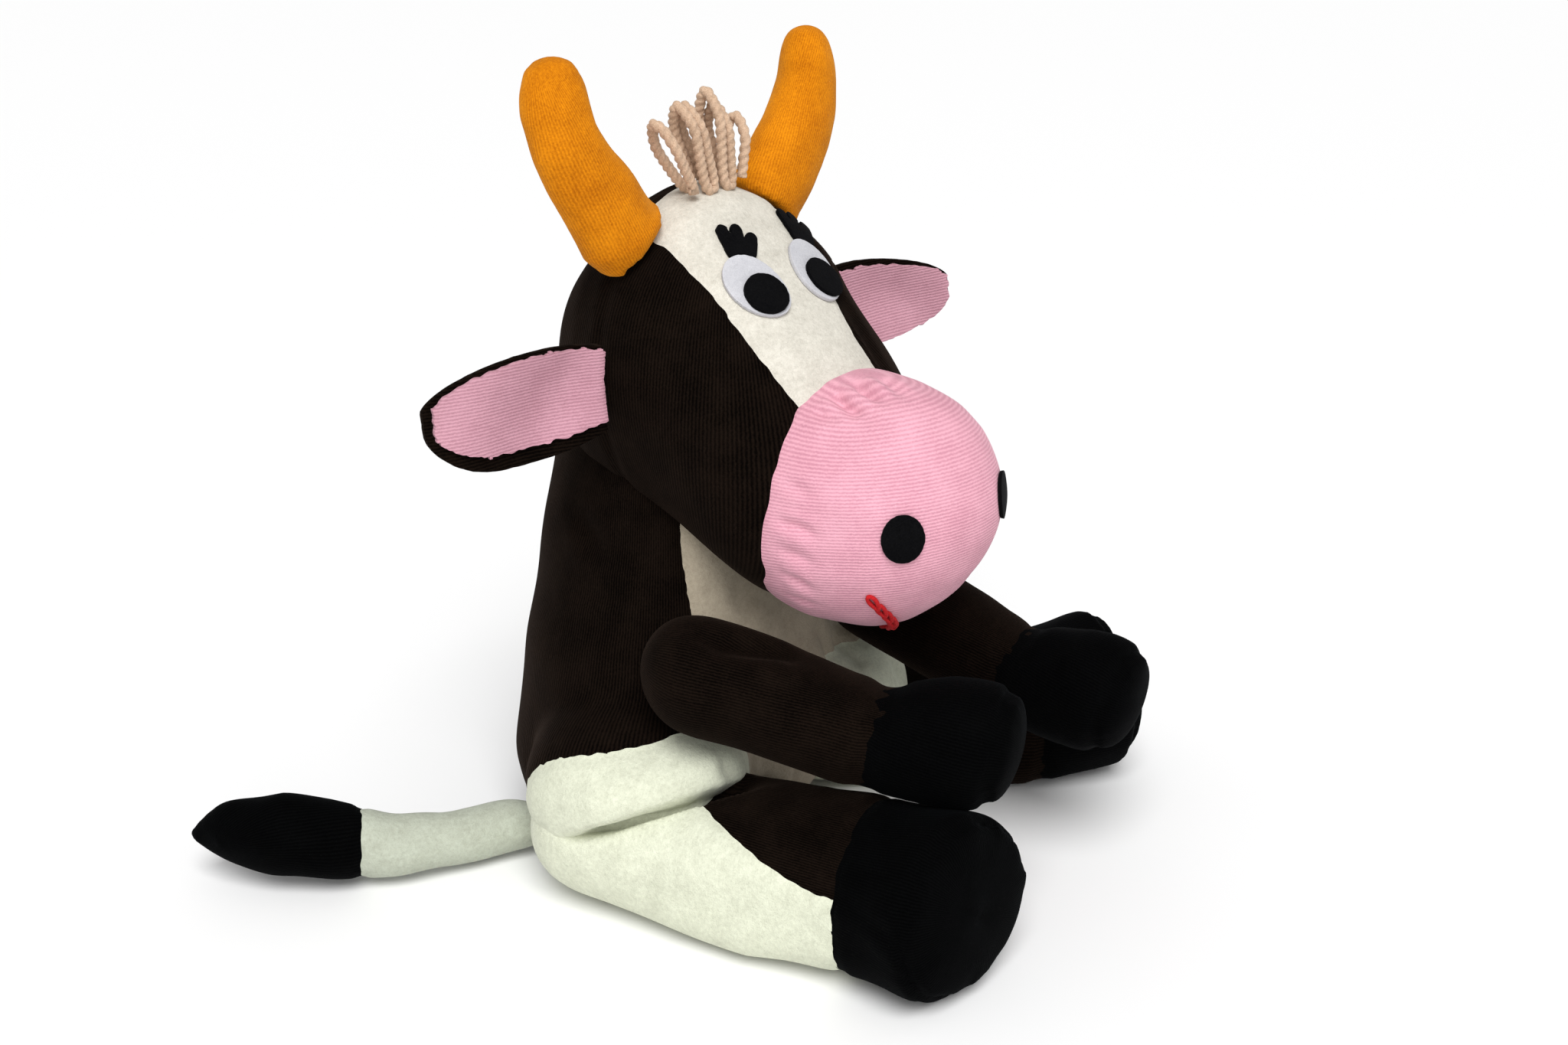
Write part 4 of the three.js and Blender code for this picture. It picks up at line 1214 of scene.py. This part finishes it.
def smooth_line(knots, steps):
    """A smooth curve through knots, with so many steps from one to the next."""
    knots = [np.array(knot, float) for knot in knots]
    knots = [2 * knots[0] - knots[1]] + knots + [2 * knots[-1] - knots[-2]]
    line = []
    for index in range(1, len(knots) - 2):
        four = knots[index - 1:index + 3]
        times = [0.0]
        for one, two in zip(four, four[1:]):
            times.append(times[-1] + np.linalg.norm(two - one) ** 0.5)
        for step in range(steps):
            now = times[1] + (times[2] - times[1]) * step / steps
            low = [between(four[k], four[k + 1], times[k], times[k + 1], now) for k in range(3)]
            mid = [between(low[k], low[k + 1], times[k], times[k + 2], now) for k in range(2)]
            line.append(between(mid[0], mid[1], times[1], times[2], now))
    line.append(knots[-2])
    return np.array(line)


def even_steps(line, gap):
    """The same curve in steps of one length, and its whole length."""
    lengths = np.concatenate([[0], np.cumsum(np.linalg.norm(np.diff(line, axis=0), axis=1))])
    count = int(lengths[-1] / gap) + 1
    spots = np.linspace(0, lengths[-1], count)
    return np.stack([np.interp(spots, lengths, line[:, axis]) for axis in range(3)], axis=1), lengths[-1]


# %% Yarn tube
LOOPS, PITCH, ROW, TALL, BULGE, FAN, LEAN = 6, 4.7, 3.1, 26.0, 4.4, 1.7, -8.0
YARN_RADIUS = 1.95
LOOP_HEIGHT = (0.80, 0.98, 0.97, 1.12, 0.93, 0.74)
LOOP_SWAY = (-1.0, 2.6, -2.0, 1.0, -2.6, 0.6)
FOOT = 1.4


def tuft_route():
    knots = []
    for index in range(LOOPS):
        seat = index - (LOOPS - 1) / 2
        across = seat * PITCH
        tall = TALL * LOOP_HEIGHT[index]
        flip = -1 if index % 2 else 1
        lean = LEAN + LOOP_SWAY[index]
        climb = [(0.1, 1), (0.38, 1.25), (0.72, BULGE / ROW), (1, 0)]
        up = [(-flip, rise, wide) for rise, wide in climb]
        down = [(flip, rise, wide) for rise, wide in reversed(climb[:3])]
        for side, rise, wide in up + down:
            right = across * (1 + (FAN - 1) * rise) + lean * rise
            knots.append((right, side * ROW * wide, tall * rise + FOOT))
        if index + 1 < LOOPS:
            for share, low in ((0.15, 1.2), (0.5, 0.2), (0.85, 1.2)):
                knots.append((across + PITCH * share, flip * ROW, low))
    return knots


def twisted_tube(name, line, radius, plies, lay, sides=14):
    """A tube along a line, with plies that turn once in every lay of steps."""
    ways = np.gradient(line, axis=0)
    ways /= np.linalg.norm(ways, axis=1, keepdims=True)
    side = unit(np.cross(ways[0], (0.3, 0.9, 0.1)))
    corners = []
    for index, (spot, way) in enumerate(zip(line, ways)):
        side = unit(side - way * (side @ way))
        other = np.cross(way, side)
        for turn in np.arange(sides) * 2 * math.pi / sides:
            bump = abs(math.cos(plies / 2 * (turn - 2 * math.pi * index / lay)))
            out = radius * (0.7 + 0.3 * bump)
            corners.append(spot + out * (side * math.cos(turn) + other * math.sin(turn)))
    faces = []
    for index in range(len(line) - 1):
        for k in range(sides):
            a, b = index * sides + k, index * sides + (k + 1) % sides
            faces.append((a, b, b + sides, a + sides))
    faces.append(tuple(reversed(range(sides))))
    faces.append(tuple((len(line) - 1) * sides + k for k in range(sides)))
    mesh = bpy.data.meshes.new(name)
    mesh.from_pydata([(np.array(corner) + SHIFT) * MM for corner in corners], [], faces)
    tube = bpy.data.objects.new(name, mesh)
    scene.collection.objects.link(tube)
    smooth(tube)
    return tube


ABOVE_HEAD = 320
low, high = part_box("hair_tuft")
route, strand_length = even_steps(smooth_line(tuft_route(), 12), 0.45)
route[:, 1] += (low[1] + high[1]) / 2 / MM - SHIFT[1]
route[:, 2] += low[2] / MM + YARN_RADIUS - route[:, 2].min()
rise = route[:, 2] - route[:, 2].min()
for index, spot in enumerate(route):
    hit = head_tree.ray_cast(place(spot[0], spot[1], ABOVE_HEAD), Vector((0, 0, -1)))[0]
    if hit:
        ground = hit.z / MM - 0.8 * YARN_RADIUS
        route[index, 2] += (ground - route[:, 2].min()) * part(1 - rise[index] / 20)
tuft = twisted_tube("hair_tuft_yarn", route, YARN_RADIUS, plies=2, lay=12)
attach(tuft, "head")
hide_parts("hair_tuft")
print("tuft", len(tuft.data.polygons), "faces,", round(strand_length), "mm of yarn")

# %% [markdown]
# ## Ears
# An ear is two leaves sewn together, brown behind and pink in front, pinched at the root.
# The brown leaf is a little larger, so it shows as a dark rim round the pink one.

# %% Ears
# The ear's root, the way it runs and its front side.
# Then the outlines of its lining and its back: start, end, how far over the middle line and how far under.
EARS = {
    "right": (
        (-52.74, 38.24, 183.94), (-65, 21, -2.4), -1,
        (-1.0, 59.8, 18.0, 15.4), (-1.4, 62.4, 19.4, 21.4),
    ),
    "left": (
        (53.0, 39.46, 186.16), (63, -34, 10), 1,
        (2.0, 66.4, 16.0, 16.6), (0.4, 67.2, 18.8, 17.4),
    ),
}
SHEET_MIDDLE = 33.5
SHEET_LONG = 0.069
SHEET_WIDE = 0.048


def leaf(start, end, over, under, blunt, fray):
    """An ear's outline: from its root to its round tip, so far over its middle line and so far under it."""
    def distance(points):
        share = part((points[:, 0] - start) / (end - start))
        high = over * (blunt + (1 - blunt) * (1 - share ** 2.6) ** 0.7) * (1 - 0.2 * (1 - share) ** 4)
        low = under * (blunt + (1 - blunt) * (1 - share ** 4) ** 0.6) * (1 - 0.38 * (1 - share) ** 3)
        sides = np.where(points[:, 1] > 0, points[:, 1] - high, -points[:, 1] - low)
        whole = np.max([sides, start - points[:, 0], points[:, 0] - end], axis=0)
        return whole + fray * lumps(points, size=2.4, seed=21)
    return distance


def ear_leaf(name, outline, axes, front, level, thick):
    """A leaf is cut flat, thickened, puffed, cupped towards its front and laid along the ear."""
    root, along, across, normal = axes
    bpy.ops.mesh.primitive_grid_add(x_subdivisions=66, y_subdivisions=44, size=1)
    sheet = bpy.context.object
    grid = points_mm(sheet) + SHIFT
    long = SHEET_MIDDLE + grid[:, 0] * SHEET_LONG
    put_mm(sheet, np.stack([long, grid[:, 1] * SHEET_WIDE, 0 * grid[:, 0]], axis=1))
    cut_line(sheet, outline)
    piece = take_panel(sheet, name, outline(face_centres(sheet)) < 0)
    discard(sheet)
    apply(piece, "SOLIDIFY", thickness=thick * MM, offset=0, use_rim=True)
    apply(piece, "BEVEL", width=0.0007, segments=3, limit_method="ANGLE", angle_limit=math.radians(50))
    flat = points_mm(piece)
    u, v, w = flat.T
    edge = part(-outline(flat) / 6)
    puffed = w * (1 + 0.5 * np.sqrt(edge)) + level
    puffed = puffed + np.sign(w) * 1.2 * bell(u, 0, 4)
    cup = front * (0.010 * v * v - 1.6 * bell(u, 30, 16))
    wave = 1.5 * np.sin(u / 9 + v / 13) * part(u / 12)
    height = puffed * front + cup + wave
    laid = root + u[:, None] * along + v[:, None] * across + height[:, None] * normal
    put_mm(piece, laid)
    lay_weave(piece, v, u)
    edit_all(bpy.ops.mesh.normals_make_consistent, inside=False)
    smooth(piece)
    return piece


for word, (root, along, front, lined, backed) in EARS.items():
    along = unit(along)
    normal = unit(np.cross(along, (0, 0, 1)))
    across = np.cross(normal, along)
    axes = (np.array(root), along, across, normal)
    back_edge = leaf(*backed, blunt=0.2, fray=0.1)
    lining_edge = leaf(*lined, blunt=0.24, fray=0.5)
    made = {
        f"ear_back_{word}": ear_leaf(f"ear_back_{word}", back_edge, axes, front, level=0.0, thick=2.0),
        f"ear_lining_{word}": ear_leaf(f"ear_lining_{word}", lining_edge, axes, front, level=2.1, thick=1.8),
    }
    for name, piece in made.items():
        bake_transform(piece)
        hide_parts(name)
    print("ear", word, count_faces(made))

# %% [markdown]
# ## Finishes
# Each cloth has its own surface: short velour with fine ribs, brushed fleece with soft clumps,
# pressed felt with crossing fibres, and plied yarn. Two node groups give the ribbed pile and the
# brushed pile, and each material uses one of them with its own values.

# %% Node groups
def new_group(name, inputs, outputs):
    group = bpy.data.node_groups.new(name, "ShaderNodeTree")
    for title, kind, value in inputs:
        socket = group.interface.new_socket(name=title, in_out="INPUT", socket_type=kind)
        socket.default_value = value
    for title, kind in outputs:
        group.interface.new_socket(name=title, in_out="OUTPUT", socket_type=kind)
    return group, group.nodes.new("NodeGroupInput"), group.nodes.new("NodeGroupOutput")


def math_node(tree, kind, first, second):
    node = tree.nodes.new("ShaderNodeMath")
    node.operation = kind
    for socket, value in zip(node.inputs, (first, second)):
        if isinstance(value, (int, float)):
            socket.default_value = value
        else:
            tree.links.new(value, socket)
    return node.outputs[0]


def noise_node(tree, vector, scale, detail, rough=0.55):
    node = tree.nodes.new("ShaderNodeTexNoise")
    set_inputs(node, {"Scale": scale, "Detail": detail, "Roughness": rough})
    tree.links.new(vector, node.inputs["Vector"])
    return node.outputs[0]


def height_and_shade(tree, outside, parts, height_share, cloud):
    """Adds two parts to a height, and mixes that with a slow cloud to a shade of colour: low pile and rib
    grooves come out darker, which is painted shade in the grooves, and the cloud is the cloth's own uneven
    tone.
    """
    height = math_node(tree, "ADD", *[math_node(tree, "MULTIPLY", *pair) for pair in parts])
    tree.links.new(height, outside.inputs["Height"])
    own = math_node(tree, "MULTIPLY", height, height_share)
    slow = math_node(tree, "MULTIPLY", *cloud)
    tree.links.new(math_node(tree, "ADD", own, slow), outside.inputs["Shade"])


FLOAT, VECTOR = "NodeSocketFloat", "NodeSocketVector"
PLACE_IN = ("Vector", VECTOR, (0, 0, 0))
PILE_OUT = [("Height", FLOAT), ("Shade", FLOAT)]
ribs, inside, outside = new_group(
    "ribbed_pile",
    [PLACE_IN, ("Weave", VECTOR, (0, 0, 0)), ("Rib Depth", FLOAT, 0.5), ("Pile Depth", FLOAT, 0.5)],
    PILE_OUT,
)
wave = ribs.nodes.new("ShaderNodeTexWave")
wave.wave_type = "BANDS"
wave.bands_direction = "X"
set_inputs(wave, {"Scale": 285, "Distortion": 1.6, "Detail": 2, "Detail Scale": 2.5})
ribs.links.new(inside.outputs["Weave"], wave.inputs["Vector"])
pile = noise_node(ribs, inside.outputs["Vector"], scale=1300, detail=3, rough=0.65)
nap = noise_node(ribs, inside.outputs["Vector"], scale=70, detail=4, rough=0.6)
rib_parts = [(wave.outputs["Fac"], inside.outputs["Rib Depth"]), (pile, inside.outputs["Pile Depth"])]
height_and_shade(ribs, outside, rib_parts, 0.6, (nap, 0.4))

clumps, inside, outside = new_group(
    "brushed_pile",
    [PLACE_IN, ("Clump Depth", FLOAT, 0.6), ("Fibre Depth", FLOAT, 0.4)],
    PILE_OUT,
)
clump = noise_node(clumps, inside.outputs["Vector"], scale=620, detail=4, rough=0.65)
fibre = noise_node(clumps, inside.outputs["Vector"], scale=2100, detail=2)
cloud = noise_node(clumps, inside.outputs["Vector"], scale=130, detail=4)
clump_parts = [(clump, inside.outputs["Clump Depth"]), (fibre, inside.outputs["Fibre Depth"])]
height_and_shade(clumps, outside, clump_parts, 0.7, (cloud, 0.3))
print("node groups:", ribs.name, clumps.name)

# %% Materials
RAMP_STOPS = (0.35, 0.65)


def cloth_finish(name, group, values, dark, light, bump, sheen, tint, gloss):
    finish = bpy.data.materials.new(name)
    finish.use_nodes = True
    tree = finish.node_tree
    shader = tree.nodes["Principled BSDF"]
    coords = tree.nodes.new("ShaderNodeTexCoord")
    surface = tree.nodes.new("ShaderNodeGroup")
    surface.node_tree = group
    set_inputs(surface, values)
    tree.links.new(coords.outputs["Object"], surface.inputs["Vector"])
    if "Weave" in surface.inputs:
        weave = tree.nodes.new("ShaderNodeUVMap")
        weave.uv_map = "weave"
        tree.links.new(weave.outputs["UV"], surface.inputs["Weave"])
    ramp = tree.nodes.new("ShaderNodeValToRGB")
    for stop, position, colour in zip(ramp.color_ramp.elements, RAMP_STOPS, (dark, light)):
        stop.position = position
        stop.color = (*colour, 1)
    tree.links.new(surface.outputs["Shade"], ramp.inputs["Fac"])
    tree.links.new(ramp.outputs["Color"], shader.inputs["Base Color"])
    relief = tree.nodes.new("ShaderNodeBump")
    set_inputs(relief, {"Strength": bump, "Distance": 0.0006})
    tree.links.new(surface.outputs["Height"], relief.inputs["Height"])
    tree.links.new(relief.outputs["Normal"], shader.inputs["Normal"])
    set_inputs(shader, {"Roughness": 0.92, "Specular IOR Level": gloss})
    set_inputs(shader, {"Sheen Weight": sheen, "Sheen Roughness": 0.4, "Sheen Tint": (*tint, 1)})
    return finish


RIBS = {"Rib Depth": 0.4, "Pile Depth": 0.62}
SOFT_RIBS = {"Rib Depth": 0.35, "Pile Depth": 0.6}
FINE_RIBS = {"Rib Depth": 0.2, "Pile Depth": 0.78}
FLEECE = {"Clump Depth": 0.65, "Fibre Depth": 0.4}
FELT = {"Clump Depth": 0.35, "Fibre Depth": 0.7}
WHITE = (1, 1, 1)
# Name, group, its values, dark, light, bump, sheen, tint of the sheen and gloss.
FINISHES = [
    ("brown_velour", ribs, SOFT_RIBS, (0.0012, 0.0007, 0.0005), (0.0092, 0.0056, 0.0038),
     0.5, 0.06, (0.5, 0.34, 0.26), 0.02),
    ("black_velour", ribs, SOFT_RIBS, (0.0004, 0.0004, 0.0005), (0.0016, 0.0017, 0.0018),
     0.4, 0.015, (0.4, 0.45, 0.5), 0.02),
    ("cream_fleece", clumps, FLEECE, (0.535, 0.55, 0.43), (0.755, 0.78, 0.625),
     0.8, 0.15, WHITE, 0.1),
    ("blaze_fleece", clumps, FLEECE, (0.50, 0.475, 0.41), (0.72, 0.69, 0.61),
     0.8, 0.15, WHITE, 0.1),
    # A darker copy of the cream fleece for the tail: painted shade.
    ("dull_fleece", clumps, FLEECE, (0.37, 0.385, 0.31), (0.515, 0.55, 0.455),
     0.8, 0.12, WHITE, 0.1),
    # A darker copy of the cream fleece for the belly and throat: painted shade under the chin and arms.
    ("shade_fleece", clumps, FLEECE, (0.34, 0.29, 0.215), (0.48, 0.415, 0.315),
     0.8, 0.1, WHITE, 0.1),
    ("pink_velour", ribs, RIBS, (0.575, 0.258, 0.33), (0.79, 0.405, 0.49),
     0.5, 0.25, (1, 0.8, 0.86), 0.1),
    # A darker copy of the pink velour for the ear linings: painted shade on the upright ears.
    ("ear_velour", ribs, RIBS, (0.44, 0.215, 0.265), (0.62, 0.33, 0.40),
     0.5, 0.2, (1, 0.8, 0.86), 0.1),
    ("orange_velour", ribs, FINE_RIBS, (0.43, 0.117, 0.001), (0.79, 0.268, 0.0045),
     0.5, 0.15, (1, 0.75, 0.2), 0.1),
    ("white_felt", clumps, FELT, (0.44, 0.44, 0.47), (0.58, 0.58, 0.61),
     0.4, 0.1, WHITE, 0.1),
    ("black_felt", clumps, FELT, (0.0012, 0.0012, 0.0016), (0.0045, 0.0045, 0.005),
     0.5, 0.04, (0.5, 0.5, 0.55), 0.03),
    ("red_thread", clumps, FELT, (0.30, 0.005, 0.008), (0.58, 0.018, 0.022),
     0.5, 0.1, (1, 0.4, 0.4), 0.15),
    ("yarn", clumps, FELT, (0.42, 0.28, 0.185), (0.70, 0.50, 0.355),
     0.7, 0.2, (1, 0.9, 0.8), 0.1),
    ("inner_cloth", clumps, FELT, (0.5, 0.47, 0.4), (0.64, 0.61, 0.54),
     0.3, 0.1, WHITE, 0.1),
]
finishes = {row[0]: cloth_finish(*row) for row in FINISHES}
print("finishes:", sorted(finishes))

# %% Dress each piece
SLOTS = {
    "brown_velour": (
        "body_side", "neck_sleeve", "head_side", "head_back",
        "arm_sleeve", "leg_cover", "ear_back", "opening_hem",
    ),
    "black_velour": ("arm_hoof", "arm_sole", "leg_hoof", "leg_sole", "tail_tip"),
    "cream_fleece": ("belly", "throat", "hip_patch", "blaze", "leg_patch", "tail_cover"),
    "pink_velour": ("muzzle_cover", "ear_lining"),
    "orange_velour": ("horn_cover",),
    "white_felt": ("eye_white",),
    "black_felt": ("eye_pupil", "eye_lash", "nostril"),
    "red_thread": ("mouth",),
    "yarn": ("hair_tuft",),
    "inner_cloth": ("finger_tube",),
}
# Pieces of one cloth that get their own finish. The blaze is a darker, warmer cream of its own; the tail, the
# belly and throat, and the ear linings get darker copies of their cloth that are painted shade.
SHADES = {
    "blaze": "blaze_fleece", "tail_cover": "dull_fleece", "belly": "shade_fleece",
    "throat": "shade_fleece", "ear_lining": "ear_velour",
}
dressed = 0
for thing in list(scene.objects):
    if thing.type != "MESH" or thing == floor or "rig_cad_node" in thing:
        continue
    for slot, starts in SLOTS.items():
        for start in filter(thing.name.startswith, starts):
            thing.data.materials.clear()
            thing.data.materials.append(finishes[SHADES.get(start, slot)])
            dressed += 1
print("pieces dressed:", dressed)
